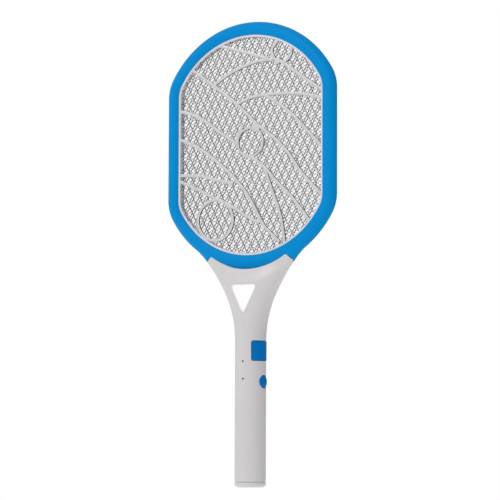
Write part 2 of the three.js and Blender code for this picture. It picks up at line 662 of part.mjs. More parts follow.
// Lamp. Its lens and bezel are cut from the same skin as the shell, so they lie in its surface.
const LENS_INSET = 0.35;
add("lamp_bezel", "white", shellSkin(-1, -0.15, HANDLE.wall).intersect(lampPrism(LAMP.bezel))
  .subtract(lampPrism(GAP)));
add("lamp_lens", "lens", shellSkin(-1, LENS_INSET, HANDLE.wall + 0.4).intersect(lampPrism(0)));
const LAMP_BOARD = { depth: 5.2, thickness: 1.2, halfWidth: 11, bottom: 190, top: 209 };
add("lamp_board", "board", box(-LAMP_BOARD.halfWidth, LAMP_BOARD.halfWidth,
  -LAMP_BOARD.depth, -LAMP_BOARD.depth + LAMP_BOARD.thickness, LAMP_BOARD.bottom, LAMP_BOARD.top));
const LAMP_LEDS = [[-6.5, 206], [6.5, 206], [0, 196]]; // X, Z
const LED_PROFILE = [[0, 0], [1.9, 0], [1.9, 0.8], [1.5, 0.8], [1.5, 2.4], [1.0, 3.3], [0, 3.7]];
LAMP_LEDS.forEach(([x, z], i) => {
  const led = turned(LED_PROFILE, AXIS.front, at(x, -LAMP_BOARD.depth - 0.1, z), 12);
  add(`lamp_led_${i + 1}`, "ledClear", led);
});

// Indicators: a domed lens in the shell's hole, a body behind it and a stem down to the board.
for (const [name, z] of Object.entries(indicatorPlaces)) {
  const inner = HANDLE.radius - HANDLE.wall - GAP;
  const led = turned([
    [0, GAP - BOARD.front], [0.8, GAP - BOARD.front], [0.8, inner - 4], [INDICATOR.body, inner - 4],
    [INDICATOR.body, inner], [INDICATOR.dome, inner], [INDICATOR.dome, HANDLE.radius - 0.3],
    [0, HANDLE.radius + 0.15],
  ], AXIS.front, at(0, 0, z), 12);
  add(`${name}_indicator_led`, name === "charge" ? "ledRed" : "ledDark", led);
}

// Trigger, its pin, spring and switch.
const triggerInner = HANDLE.radius + TRIGGER.proud - TRIGGER.thickness;
add("trigger_button", "buttonBlue", triggerButton());
add("trigger_pin", "steel",
  rod(TRIGGER.pinRadius, -PIN_HALF, PIN_HALF, AXIS.back, at(TRIGGER.pivotX, 0, TRIGGER.pivotZ), 12));
add("trigger_spring", "steel",
  coil(1.9, 0.3, SWITCH.seatFace + 2 * GAP, triggerInner - 3 * GAP, 4.5, TRIGGER.springZ));
add("trigger_spring_seat", "black",
  box(SWITCH.seatFace - 3.9, SWITCH.seatFace, BOARD.back + GAP, SWITCH.seatHalf,
    TRIGGER.springZ - SWITCH.seatHalf, TRIGGER.springZ + SWITCH.seatHalf));
add("trigger_switch_body", "black", switchBody(4.4, SWITCH.triggerFace, 2.2, TRIGGER.padZ, 2.3));
add("trigger_switch_plunger", "black",
  rod(SWITCH.plungerRadius, SWITCH.triggerFace - 1.2, SWITCH.padX - GAP, AXIS.x,
    at(0, 0, TRIGGER.padZ), 10));

// Round push button and its latching switch.
add("push_button", "buttonBlue", pushButton());
add("push_button_spring", "steel",
  coil(2.6, 0.35, SWITCH.latchFace + 0.6, PUSH.flangeX - 0.6, 3, PUSH.z));
add("latching_switch_body", "black", switchBody(7.4, SWITCH.latchFace, 4.1, PUSH.z, 4.5));
add("latching_switch_plunger", "brass",
  rod(SWITCH.plungerRadius, SWITCH.latchFace - 0.6, PUSH.flangeX - GAP, AXIS.x, at(0, 0, PUSH.z), 10));

// Circuit board and what is soldered to its rear face.
const boardFace = BOARD.back + GAP;
add("circuit_board", "board",
  box(BOARD.left, BOARD.right, BOARD.front, BOARD.back, BOARD.bottom, BOARD.top));
const CORE = { x: -1.5, half: 6, limb: 2, depth: 9, bottom: 157.5, top: 169.5 };
add("transformer_core", "ferrite",
  box(CORE.x - CORE.half, CORE.x + CORE.half, boardFace, boardFace + CORE.depth, CORE.bottom, CORE.top)
    .subtract(box(CORE.x - CORE.half + CORE.limb, CORE.x + CORE.half - CORE.limb, -20, 20,
      CORE.bottom + CORE.limb, CORE.top - CORE.limb)));
const windingBottom = CORE.bottom + CORE.limb + GAP;
const windingTop = CORE.top - CORE.limb - GAP;
add("transformer_winding", "winding", turned([
  [0, windingBottom], [2.8, windingBottom], [3.6, windingBottom + 0.7],
  [3.6, windingTop - 0.7], [2.8, windingTop], [0, windingTop],
], AXIS.z, at(CORE.x, boardFace + CORE.depth / 2, 0), 16));
const CAPACITOR = { left: -10, right: -4, depth: 10, bottom: 116, top: 132 };
add("storage_capacitor", "capacitor", box(CAPACITOR.left, CAPACITOR.right,
  boardFace, boardFace + CAPACITOR.depth, CAPACITOR.bottom, CAPACITOR.top));
const TRANSISTOR = { radius: 2.3, height: 5, x: -7, z: 138, flatZ: 139.2 };
add("transistor", "black",
  rod(TRANSISTOR.radius, boardFace, boardFace + TRANSISTOR.height, AXIS.back,
    at(TRANSISTOR.x, 0, TRANSISTOR.z), 14)
    .subtract(box(-12, -2, -20, 20, TRANSISTOR.flatZ, TRANSISTOR.flatZ + 5)));
const AXIAL_X = -5.5;
const DIODE = { radius: 1.35, halfBody: 2.6, halfWire: 5, levels: [97, 100.2, 103.4] };
DIODE.levels.forEach((z, i) => {
  const origin = at(AXIAL_X, boardFace + DIODE.radius + 0.05, z);
  add(`rectifier_diode_${i + 1}`, "black", axialPart(DIODE.radius, DIODE.halfBody, DIODE.halfWire, origin));
});
const RESISTOR = { radius: 1.6, halfBody: 3.2, halfWire: 5, z: 149 };
add("discharge_resistor", "resistor", axialPart(RESISTOR.radius, RESISTOR.halfBody, RESISTOR.halfWire,
  at(AXIAL_X, boardFace + RESISTOR.radius + 0.1, RESISTOR.z)));

// Battery, its tabs and the charging socket.
const batteryTop = BATTERY.bottom + BATTERY.length;
add("battery_cell", "battery", turned([
  [0, BATTERY.bottom], [BATTERY.radius - 0.6, BATTERY.bottom], [BATTERY.radius, BATTERY.bottom + 0.6],
  [BATTERY.radius, batteryTop - 1.6], [BATTERY.radius - 0.6, batteryTop - 1], [3, batteryTop - 1],
  [3, batteryTop], [0, batteryTop],
], AXIS.z, at(0, 0, 0), 24));
const TAB = { positiveHalf: 3, negativeHalf: 5, halfDepth: 2.2, thickness: 0.5 };
function batteryTab(halfWidth, bottom) {
  return box(-halfWidth, halfWidth, -TAB.halfDepth, TAB.halfDepth, bottom, bottom + TAB.thickness);
}
add("battery_positive_tab", "steel", batteryTab(TAB.positiveHalf, batteryTop + GAP));
add("battery_negative_tab", "steel", batteryTab(TAB.negativeHalf, BATTERY.bottom - GAP - TAB.thickness));
add("charging_socket", "black", chargingSocket());
add("charging_socket_pin", "brass",
  rod(0.65, CAP.floor + 2, CAP.floor + SOCKET.depth, AXIS.z, at(0, SOCKET.y, 0), 10));

// Leads, each along a route of hand-set points inside the casing.
const LEAD = 0.6;
const solder = boardFace + LEAD;
const leads = {
  grid_lead: ["redLead", [[-6, solder, 170.5], [-6, -2.6, 176], [-6, -1, 190], [-4, 0, 205],
    [-1, 0, 216], [0, 0, 228], [0, 0, 238.5]]],
  front_net_lead: ["blackLead", [[-8.5, solder, 170.5], [-8.2, -3, 176], [-8, -2, 190], [-6.5, -1.6, 204],
    [-4.2, -1.8, 214], [-4, -1.8, 228], [-4, -3.3, 237.6]]],
  rear_net_lead: ["blackLead", [[3, solder, 170.5], [6, -1, 176], [6.5, 1, 190], [5.5, 1.6, 204],
    [4.2, 1.8, 214], [4, 1.8, 228], [4, 3.3, 237.6]]],
  lamp_lead: ["redLead", [[6, solder, 168], [6.2, solder, 174], [6, -3.2, 184], [5, -3.1, 192]]],
  battery_lead_positive: ["redLead", [[0, 0, 90.4], [1, -0.6, 92.4], [2, -2.6, 94.5], [2.4, solder, 97]]],
  battery_lead_negative: ["blackLead", [[-3, 0, 21.6], [-8, 0.4, 21.9], [-11, 0.8, 26], [-11.8, 1, 40],
    [-11.8, 1, 80], [-11.2, 0, 88], [-10.4, -2.4, 92], [-9.6, solder, 94.4]]],
  charging_lead: ["redLead", [[0, 7.6, 15.5], [0, 10, 18.5], [0, 11.2, 25], [0, 11.2, 50], [0, 11.2, 84],
    [2, 8, 91.5], [4, 1, 95], [5, solder, 99]]],
};
for (const [name, [colour, route]] of Object.entries(leads)) {
  add(name, colour, tube(route.map(([x, y, z]) => at(x, y, z)), LEAD, Math.max(8, route.length * 2)));
}

export default swatter;
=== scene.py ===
"""Looks of the electric fly swatter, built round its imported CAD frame.

Lengths are in millimetres until make_mesh() turns them into metres. X is across the racket, the
front faces -Y, and Z runs up the handle from the middle of the butt end.
"""
import json
import math

import bmesh
import bpy
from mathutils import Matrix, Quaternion, Vector


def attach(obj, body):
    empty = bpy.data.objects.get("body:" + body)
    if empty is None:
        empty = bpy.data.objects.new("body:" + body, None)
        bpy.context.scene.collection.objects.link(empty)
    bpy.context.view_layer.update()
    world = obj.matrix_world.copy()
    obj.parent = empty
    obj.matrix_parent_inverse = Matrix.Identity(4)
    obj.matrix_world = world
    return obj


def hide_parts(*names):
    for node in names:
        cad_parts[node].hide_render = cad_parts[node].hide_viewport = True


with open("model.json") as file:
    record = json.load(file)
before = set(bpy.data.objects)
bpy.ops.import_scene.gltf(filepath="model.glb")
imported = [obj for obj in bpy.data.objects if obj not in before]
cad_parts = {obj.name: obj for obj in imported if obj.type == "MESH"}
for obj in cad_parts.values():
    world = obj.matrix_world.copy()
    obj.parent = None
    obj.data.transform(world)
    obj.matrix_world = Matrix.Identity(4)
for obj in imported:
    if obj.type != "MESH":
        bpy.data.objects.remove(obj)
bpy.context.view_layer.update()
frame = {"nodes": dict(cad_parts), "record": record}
MM = 0.001

# ---- Driving dimensions, as in the CAD ----------------------------------------------------------

GAP = 0.3
SEAM = 0.15
SEAM_SHUT = 0.02
OPENING = {"half_width": 87.5, "bottom": 242.4, "top": 475.8, "end_radius": 97.1, "corner_radius": 28.0}
RING_WIDTH = 14.2
RING_STRETCH_FROM = 9.5
HANDLE = {"radius": 16.3, "wall": 2.0, "start": 5.8}
FLARE = {"start": 150.0, "end": 238.0, "power": 2.2, "width": 37.2, "squareness": 1.6}
SHOULDER = {"middle": 224.0, "softness": 5.0, "thin": 7.2}
CUP = {"radius": 76.6, "centre": 304.3, "ear": (44.9, 241.7), "side": (52.0, 235.6)}
EAR = {"rise": 0.8, "blunt": 1.2}
LIP = {"middle": 0.85, "thinner": 0.4, "steps": 5}
EDGE_BREAK = 0.35
NET = {"front": 4.1, "back": 2.5, "rim": 2.3, "held": 3.8}
SPACER = {"inner": -2.1, "outer": 3.4, "near": 0.6, "far": 2.2}
TRIGGER = {"bottom": 131.75, "top": 152.2, "wrap": 57.0, "outer": 16.65, "thickness": 1.9, "round": 2.0}
TRIGGER_PIVOT = (10.5, 128.5)
PUSH = {"z": 109.9, "radius": 6.9, "face": 15.6, "dome": 2.5, "flange": 8.2, "flange_x": 9.9}
LAMP = {"top": 209.1, "tip": 184.1, "half_width": 13.35, "bezel": 2.6, "round": 1.6}
INDICATORS = {"charge_indicator_led": 131.0, "power_indicator_led": 112.8}
CAP = {"spigot": 14.0, "wall": 2.0, "top": 11.0, "floor": 2.2, "fillet": 3.6}
SOCKET = {"y": 6.0, "hole": 2.2}
HANDLE_SCREWS = [(-6.5, 18.2), (6.5, 18.2), (0.0, 178.0), (-20.5, 216.0), (20.5, 216.0)]
FRAME_SCREW_OFFSET = 8.4
FRAME_SCREW_HEIGHTS = (318.0, 398.0)
FRAME_SCREW = {"hole": 2.1, "hole_from": 4.7, "hole_to": 12, "seat": 4.75, "head": 1.85}
HANDLE_SCREW_HEAD = 2.4
SEAT_PLAY = 0.05

# ---- Camera, fitted to the photograph's viewing angle --------------------------------------------

AZIMUTH = math.radians(30.0)
ELEVATION = math.radians(-4.56)
ROLL = math.radians(0.2)
DISTANCE = 2.625
TARGET = Vector((0.0, 0.0, 0.2482))
away = Vector((math.sin(AZIMUTH) * math.cos(ELEVATION), -math.cos(AZIMUTH) * math.cos(ELEVATION),
               math.sin(ELEVATION)))
camera_data = bpy.data.cameras.new("camera")
camera_data.lens = 180.0
camera_data.sensor_width = 36.0
camera_data.shift_x = -0.002
camera = bpy.data.objects.new("camera", camera_data)
camera.location = TARGET + away * DISTANCE
camera.rotation_euler = ((-away).to_track_quat("-Z", "Y") @ Quaternion((0, 0, 1), ROLL)).to_euler()
bpy.context.scene.collection.objects.link(camera)
bpy.context.scene.camera = camera
bpy.context.scene.view_settings.view_transform = "Standard"

# ---- Mesh tools ---------------------------------------------------------------------------------


def make_mesh(name, points, faces, sharp=38.0):
    """An object from points in millimetres, its faces turned outwards and smooth except at sharp edges."""
    mesh = bpy.data.meshes.new(name)
    mesh.from_pydata([Vector(p) * MM for p in points], [], faces)
    obj = bpy.data.objects.new(name, mesh)
    bpy.context.scene.collection.objects.link(obj)
    finish_mesh(obj, sharp)
    return obj


def finish_mesh(obj, sharp=38.0):
    """Merges doubled points, turns the faces outwards and marks the sharp edges."""
    mesh = bmesh.new()
    mesh.from_mesh(obj.data)
    bmesh.ops.remove_doubles(mesh, verts=mesh.verts, dist=1e-7)
    bmesh.ops.recalc_face_normals(mesh, faces=mesh.faces)
    limit = math.radians(sharp)
    for face in mesh.faces:
        face.smooth = True
    for edge in mesh.edges:
        edge.smooth = len(edge.link_faces) == 2 and edge.calc_face_angle(0.0) < limit
    mesh.to_mesh(obj.data)
    mesh.free()


def boolean(obj, tools, operation="DIFFERENCE", sharp=38.0):
    """Adds to, cuts or keeps obj with each tool, and removes the tools."""
    for tool in tools:
        step = obj.modifiers.new("step", "BOOLEAN")
        step.operation = operation
        step.solver = "MANIFOLD"
        step.object = tool
        bpy.context.view_layer.update()
        result = bpy.data.meshes.new_from_object(obj.evaluated_get(bpy.context.evaluated_depsgraph_get()))
        obj.modifiers.clear()
        old = obj.data
        obj.data = result
        bpy.data.meshes.remove(old)
        bpy.data.objects.remove(tool)
    finish_mesh(obj, sharp)
    return obj


def smooth_line(points, per_span=6, closed=False):
    """A Catmull-Rom curve through the points, of any dimension."""
    count = len(points)
    spans = count if closed else count - 1
    line = []
    for i in range(spans):
        if closed:
            ends = [points[(i + k) % count] for k in (-1, 0, 1, 2)]
        else:
            ends = [points[min(max(i + k, 0), count - 1)] for k in (-1, 0, 1, 2)]
        for step in range(per_span):
            t = step / per_span
            weights = (-0.5 * t + t * t - 0.5 * t ** 3, 1 - 2.5 * t * t + 1.5 * t ** 3,
                       0.5 * t + 2 * t * t - 1.5 * t ** 3, -0.5 * t * t + 0.5 * t ** 3)
            line.append(tuple(sum(w * p[k] for w, p in zip(weights, ends)) for k in range(len(points[0]))))
    if not closed:
        line.append(tuple(points[-1]))
    return line


def grid_faces(rows, columns, wrap_rows=False, wrap_columns=False):
    """Quads over a grid of points numbered row by row."""
    faces = []
    for i in range(rows if wrap_rows else rows - 1):
        for k in range(columns if wrap_columns else columns - 1):
            a, b = i * columns, ((i + 1) % rows) * columns
            n = (k + 1) % columns
            faces.append((a + k, a + n, b + n, b + k))
    return faces


def turned(name, profile, origin, axis, segments=64, sharp=38.0):
    """A turned piece. The profile is (radius, distance along the axis), from axis to axis."""
    turn = Vector((0, 0, 1)).rotation_difference(Vector(axis)).to_matrix()
    inner = profile[1:-1]
    points = [Vector(origin) + turn @ Vector((0, 0, profile[0][1]))]
    for radius, along in inner:
        for s in range(segments):
            a = 2 * math.pi * s / segments
            points.append(Vector(origin) + turn @ Vector((radius * math.cos(a), radius * math.sin(a), along)))
    points.append(Vector(origin) + turn @ Vector((0, 0, profile[-1][1])))
    last = len(points) - 1
    faces = [tuple(1 + i for i in face) for face in grid_faces(len(inner), segments, wrap_columns=True)]
    for s in range(segments):
        n = (s + 1) % segments
        faces.append((0, 1 + n, 1 + s))
        faces.append((last, last - segments + s, last - segments + n))
    return make_mesh(name, points, faces, sharp)


def rod(radius, low, high, origin, axis, segments=48):
    return turned("tool", [(0, low), (radius, low), (radius, high), (0, high)], origin, axis, segments)


def prism(outline, y_from, y_to, name="tool"):
    """A closed outline in X and Z, given thickness between two depths."""
    count = len(outline)
    points = [(x, y, z) for y in (y_from, y_to) for x, z in outline]
    faces = grid_faces(2, count, wrap_columns=True)
    faces += [tuple(range(count)), tuple(range(2 * count - 1, count - 1, -1))]
    return make_mesh(name, points, faces)


# ---- The head's outline -------------------------------------------------------------------------

CORNER_X = OPENING["half_width"] - OPENING["corner_radius"]
CORNER_DROP = math.sqrt((OPENING["end_radius"] - OPENING["corner_radius"]) ** 2 - CORNER_X ** 2)
CORNER_SWEEP = math.atan2(CORNER_DROP, CORNER_X)
TOP_CENTRE = OPENING["top"] - OPENING["end_radius"]
BOTTOM_CENTRE = OPENING["bottom"] + OPENING["end_radius"]
END_STEPS = 120
CORNER_STEPS = 20
SIDE_STEPS = 24


def stations():
    """Points on the opening's edge: (x, z, outward x, outward z, angle from the yoke's middle)."""
    high, low = TOP_CENTRE + CORNER_DROP, BOTTOM_CENTRE - CORNER_DROP
    corner, end = OPENING["corner_radius"], OPENING["end_radius"]
    right, left = CORNER_SWEEP, math.pi - CORNER_SWEEP
    arcs = [
        (CORNER_X, high, corner, 0.0, right), (0.0, TOP_CENTRE, end, right, left),
        (-CORNER_X, high, corner, left, math.pi), None,
        (-CORNER_X, low, corner, math.pi, math.pi + right),
        (0.0, BOTTOM_CENTRE, end, math.pi + right, 2 * math.pi - right),
        (CORNER_X, low, corner, 2 * math.pi - right, 2 * math.pi), None,
    ]
    found = []
    for arc in arcs:
        if arc is None:
            side = -1 if len(found) < END_STEPS * 1.5 else 1
            from_z, to_z = (high, low) if side < 0 else (low, high)
            for i in range(1, SIDE_STEPS):
                z = from_z + (to_z - from_z) * i / SIDE_STEPS
                found.append((side * OPENING["half_width"], z, side, 0.0, math.inf))
            continue
        x, z, radius, start, stop = arc
        steps = END_STEPS if radius == end else CORNER_STEPS
        under = radius == end and z == BOTTOM_CENTRE
        for i in range(1 if radius == end else 0, steps if radius == end else steps + 1):
            angle = start + (stop - start) * i / steps
            out = (math.cos(angle), math.sin(angle))
            yoke = abs(angle - 1.5 * math.pi) if under else math.inf
            found.append((x + radius * out[0], z + radius * out[1], out[0], out[1], yoke))
    return found


STATIONS = stations()


def head_outline(offset):
    return [(x + out_x * offset, z + out_z * offset) for x, z, out_x, out_z, _ in STATIONS]


# The ring widens into a tongue below the opening: (degrees from straight down, width).
TONGUE = [(0.0, 34.0), (13.5, 34.0), (20.5, 23.5), (23.5, 17.5), (26.6, 19.1), (30.0, 16.3),
          (34.5, RING_WIDTH)]


def ring_width(yoke):
    degrees = math.degrees(yoke) if yoke < math.pi else 180.0
    if degrees >= TONGUE[-1][0]:
        return RING_WIDTH
    for (a, before), (b, after) in zip(TONGUE, TONGUE[1:]):
        if degrees <= b:
            return before + (after - before) * (degrees - a) / (b - a)
    return RING_WIDTH


RING_CURVE = [(0.25, 4.9), (1.2, 5.6), (3.6, 6.65), (6.5, 7.0), (9.5, 6.3), (12.1, 4.4), (13.6, 2.3),
              (14.15, 0.45)]
RING_LIP = [(0.0, 4.4), (0.0, 4.7)]
RING_EDGE = [(13.95, SEAM)]
RING_CHANNEL = [(12.5, SEAM_SHUT), (11.2, 3.3), (9.0, 4.9), (5.2, 5.3), (4.4, 4.4)]
ring_skin = RING_LIP + smooth_line(RING_CURVE, 5) + RING_EDGE


def ring_loft(name, profile, side):
    """A closed profile of (distance out from the opening, depth), carried round the opening."""
    points = []
    for x, z, out_x, out_z, yoke in STATIONS:
        stretch = (ring_width(yoke) - RING_STRETCH_FROM) / (RING_WIDTH - RING_STRETCH_FROM)
        for reach, depth in profile:
            if reach > RING_STRETCH_FROM:
                reach = RING_STRETCH_FROM + (reach - RING_STRETCH_FROM) * stretch
            points.append((x + out_x * reach, side * depth, z + out_z * reach))
    return make_mesh(name, points, grid_faces(len(STATIONS), len(profile), True, True))


# ---- The handle's sections ----------------------------------------------------------------------


def flare(z):
    return max(0.0, (z - FLARE["start"]) / (FLARE["end"] - FLARE["start"])) ** FLARE["power"]


def section(z, inset):
    share = flare(z)
    half_width = HANDLE["radius"] + FLARE["width"] * share - inset
    fall = 1 + math.exp((z - SHOULDER["middle"]) / SHOULDER["softness"])
    half_depth = SHOULDER["thin"] + (HANDLE["radius"] - SHOULDER["thin"]) / fall - inset
    return half_width, half_depth, 2 / (2 + FLARE["squareness"] * min(share, 1))


def section_point(angle, z, inset, side, seam=SEAM):
    half_width, half_depth, power = section(z, inset)
    cosine, sine = math.cos(angle), abs(math.sin(angle))
    x = half_width * math.copysign(abs(cosine) ** power, cosine)
    return x, side * max(seam, half_depth * sine ** power), z


def face_depth(x, z, inset=0.0):
    """Depth of the handle's outer face at a place on it."""
    half_width, half_depth, power = section(z, inset)
    return half_depth * max(0.0, 1 - abs(x / half_width) ** (2 / power)) ** (power / 2)


def cup_height(x):
    """Height of the shells' upper edge: the cup in the middle, then down past each ear."""
    across = abs(x)
    (ear_x, ear_z), (side_x, side_z) = CUP["ear"], CUP["side"]
    arc = CUP["centre"] - math.sqrt(max(CUP["radius"] ** 2 - across ** 2, 0.0))
    fall = ear_z + EAR["rise"] - (across - ear_x) * (ear_z - side_z) / (side_x - ear_x)
    blunt = EAR["blunt"]
    gap = max(blunt - abs(arc - fall), 0.0) / blunt
    return min(arc, fall) - gap * gap * blunt / 4


ABOVE_EDGE = 250.0
HALVINGS = 40


def column_top(angle):
    """Height at which a line up the shell's face meets the upper edge."""
    low, high = FLARE["start"], ABOVE_EDGE
    for _ in range(HALVINGS):
        middle = (low + high) / 2
        if cup_height(section_point(angle, middle, 0.0, 1)[0]) > middle:
            low = middle
        else:
            high = middle
    return low


# ---- Handle shells ------------------------------------------------------------------------------

COLUMNS = 112
STRAIGHT_LEVELS = 34
FLARE_LEVELS = 40


def shell_skin(side, name):
    """A half shell with a rounded lip along its upper edge. Each column is one closed loop."""
    loops = []
    for i in range(COLUMNS + 1):
        angle = math.pi * i / COLUMNS
        top = column_top(angle)
        x_top = abs(section_point(angle, top, 0.0, side)[0])
        lip = LIP["middle"] - LIP["thinner"] * min(x_top / CUP["side"][0], 1.0)
        levels = [HANDLE["start"] + (FLARE["start"] - HANDLE["start"]) * k / STRAIGHT_LEVELS
                  for k in range(STRAIGHT_LEVELS)]
        levels += [FLARE["start"] + (top - lip - FLARE["start"]) * k / FLARE_LEVELS
                   for k in range(FLARE_LEVELS + 1)]
        loop = [section_point(angle, HANDLE["start"], EDGE_BREAK, side)]
        loop += [section_point(angle, max(z, HANDLE["start"] + EDGE_BREAK), 0.0, side) for z in levels]
        for k in range(1, LIP["steps"] + 1):
            turn = math.pi / 2 * k / LIP["steps"]
            inset = lip * (1 - math.cos(turn))
            loop.append(section_point(angle, top - lip * (1 - math.sin(turn)), inset, side))
        inner = [section_point(angle, z, HANDLE["wall"], side, SEAM_SHUT) for z in reversed(levels)]
        inner[0] = section_point(angle, top - 0.01, HANDLE["wall"], side, SEAM_SHUT)
        loops.append(loop + inner)
    size = len(loops[0])
    points = [p for loop in loops for p in loop]
    faces = grid_faces(len(loops), size, wrap_columns=True)
    for start in (0, COLUMNS * size):
        for k in range(size // 2 - 1):
            faces.append((start + k, start + k + 1, start + size - 2 - k, start + size - 1 - k))
    return make_mesh(name, points, faces)


def lamp_outline(margin, per_side=24):
    """The lamp's rounded triangle grown by a margin, point down."""
    r = LAMP["round"] + margin * 0.6
    half, top, tip = LAMP["half_width"] + margin * 1.25, LAMP["top"] + margin, LAMP["tip"] - margin * 2.0
    slope = Vector((half, top - tip)).normalized()
    corners = [
        [(half - 2 * r, top), (half, top), (half - slope.x * 2 * r, top - slope.y * 2 * r)],
        [(slope.x * 2 * r, tip + slope.y * 2 * r), (0, tip), (-slope.x * 2 * r, tip + slope.y * 2 * r)],
        [(-half + slope.x * 2 * r, top - slope.y * 2 * r), (-half, top), (-half + 2 * r, top)],
    ]
    outline = []
    for n, (a, b, c) in enumerate(corners):
        for k in range(9):
            t = k / 8
            outline.append(tuple((1 - t) ** 2 * a[i] + 2 * t * (1 - t) * b[i] + t * t * c[i] for i in (0, 1)))
        follow = corners[(n + 1) % 3][0]
        for k in range(1, per_side):
            t = k / per_side
            outline.append(tuple(c[i] * (1 - t) + follow[i] * t for i in (0, 1)))
    return outline


def trigger_grid(rows, columns):
    """Places over the trigger's face as (angle, height, distance in from its edge)."""
    reach = math.radians(TRIGGER["wrap"]) * TRIGGER["outer"]
    middle = (TRIGGER["bottom"] + TRIGGER["top"]) / 2
    half = (TRIGGER["top"] - TRIGGER["bottom"]) / 2
    r = TRIGGER["round"]

    def spread(count):
        return [math.sin(math.pi / 2 * (2 * k / (count - 1) - 1)) for k in range(count)]

    places = []
    for v in spread(rows):
        height = v * half
        over = abs(height) - (half - r)
        width = reach - (r - math.sqrt(max(r * r - over * over, 0.0)) if over > 0 else 0.0)
        for u in spread(columns):
            across = u * width
            if over > 0 and abs(across) > reach - r:
                inside = r - math.hypot(over, abs(across) - (reach - r))
            else:
                inside = min(half - abs(height), reach - abs(across))
            places.append((across / TRIGGER["outer"], middle + height, max(inside, 0.0)))
    return places


def trigger_slab(name, rounding, rows=40, columns=60):
    """The trigger's curved face, its outer edges rounded."""
    places = trigger_grid(rows, columns)
    points = []
    for radius, rounded in ((TRIGGER["outer"], rounding), (TRIGGER["outer"] - TRIGGER["thickness"], 0.0)):
        for angle, height, inside in places:
            drop = rounded - math.sqrt(rounded ** 2 - (rounded - inside) ** 2) if inside < rounded else 0.0
            away_from_axis = radius - drop
            points.append((away_from_axis * math.cos(angle), away_from_axis * math.sin(angle), height))
    count = rows * columns
    faces = grid_faces(rows, columns)
    faces += [tuple(count + i for i in reversed(face)) for face in grid_faces(rows, columns)]
    border = [k for k in range(columns)]
    border += [i * columns + columns - 1 for i in range(1, rows)]
    border += [(rows - 1) * columns + k for k in range(columns - 2, -1, -1)]
    border += [i * columns for i in range(rows - 2, 0, -1)]
    for a, b in zip(border, border[1:] + border[:1]):
        faces.append((a, count + a, count + b, b))
    return make_mesh(name, points, faces)


TRIGGER_CLEARANCE = 0.45
OPENING_STEPS = 8
OPENING_REACH = 20.0


def trigger_opening():
    """A block along X that cuts the trigger's opening.

    Its side walls are flat and square to the trigger's pivot, so the trigger turns without touching them.
    """
    clearance = TRIGGER_CLEARANCE
    wrap = math.radians(TRIGGER["wrap"])
    half_y = HANDLE["radius"] * math.sin(wrap + clearance / TRIGGER["outer"])
    half_z = (TRIGGER["top"] - TRIGGER["bottom"]) / 2 + clearance
    middle = (TRIGGER["top"] + TRIGGER["bottom"]) / 2
    corner_z = TRIGGER["round"] + clearance
    corner_y = corner_z * math.cos(wrap)
    outline = []
    for quarter, (side_y, side_z) in enumerate(((1, 1), (-1, 1), (-1, -1), (1, -1))):
        for k in range(OPENING_STEPS + 1):
            turn = math.pi / 2 * (quarter + k / OPENING_STEPS)
            outline.append((side_y * (half_y - corner_y) + corner_y * math.cos(turn),
                            middle + side_z * (half_z - corner_z) + corner_z * math.sin(turn)))
    count = len(outline)
    points = [(x, y, z) for x in (HANDLE["wall"], OPENING_REACH) for y, z in outline]
    faces = grid_faces(2, count, wrap_columns=True)
    faces += [tuple(range(count)), tuple(range(2 * count - 1, count - 1, -1))]
    return make_mesh("tool", points, faces)


SCREW = {"head": 2.65, "seat": 2.0}
OUTSIDE = 22
PUSH_HOLE_FROM = 8
LAMP_CUT = {"clearance": 0.12, "to": -5}
INDICATOR_HOLE = {"radius": 1.15, "from": 10, "to": 20}


def ring_envelope():
    """The ring's section with its gap, a little past the opening and the seam, to cut the shells."""
    outer = [(reach + (GAP if reach > RING_STRETCH_FROM else 0), depth + GAP * 0.6)
             for reach, depth in smooth_line(RING_CURVE, 3)]
    return [(-1.0, -1.0), (-1.0, 5.2)] + outer + [(RING_WIDTH + GAP, -1.0)]


def handle_shell(side, name):
    shell = shell_skin(side, name)
    tools = [
        ring_loft("tool", ring_envelope(), side),
        trigger_opening(),
        rod(PUSH["radius"] + GAP, PUSH_HOLE_FROM, OUTSIDE, (0, 0, PUSH["z"]), (1, 0, 0), 72),
    ]
    if side < 0:
        tools.append(prism(lamp_outline(LAMP["bezel"] + LAMP_CUT["clearance"]), -OUTSIDE, LAMP_CUT["to"]))
        for z in INDICATORS.values():
            hole = INDICATOR_HOLE
            tools.append(rod(hole["radius"], hole["from"], hole["to"], (0, 0, z), (0, -1, 0), 32))
    else:
        for x, z in HANDLE_SCREWS:
            seat = face_depth(x, z) - SCREW["seat"]
            tools.append(rod(SCREW["head"], seat, OUTSIDE, (x, 0, z), (0, 1, 0), 40))
    return boolean(shell, tools)


# ---- Nets, grid and spacers ---------------------------------------------------------------------


LATTICE_MARGIN = 8
LATTICE_HALF_HEIGHT = 125
THIN_SHARP = 30.0


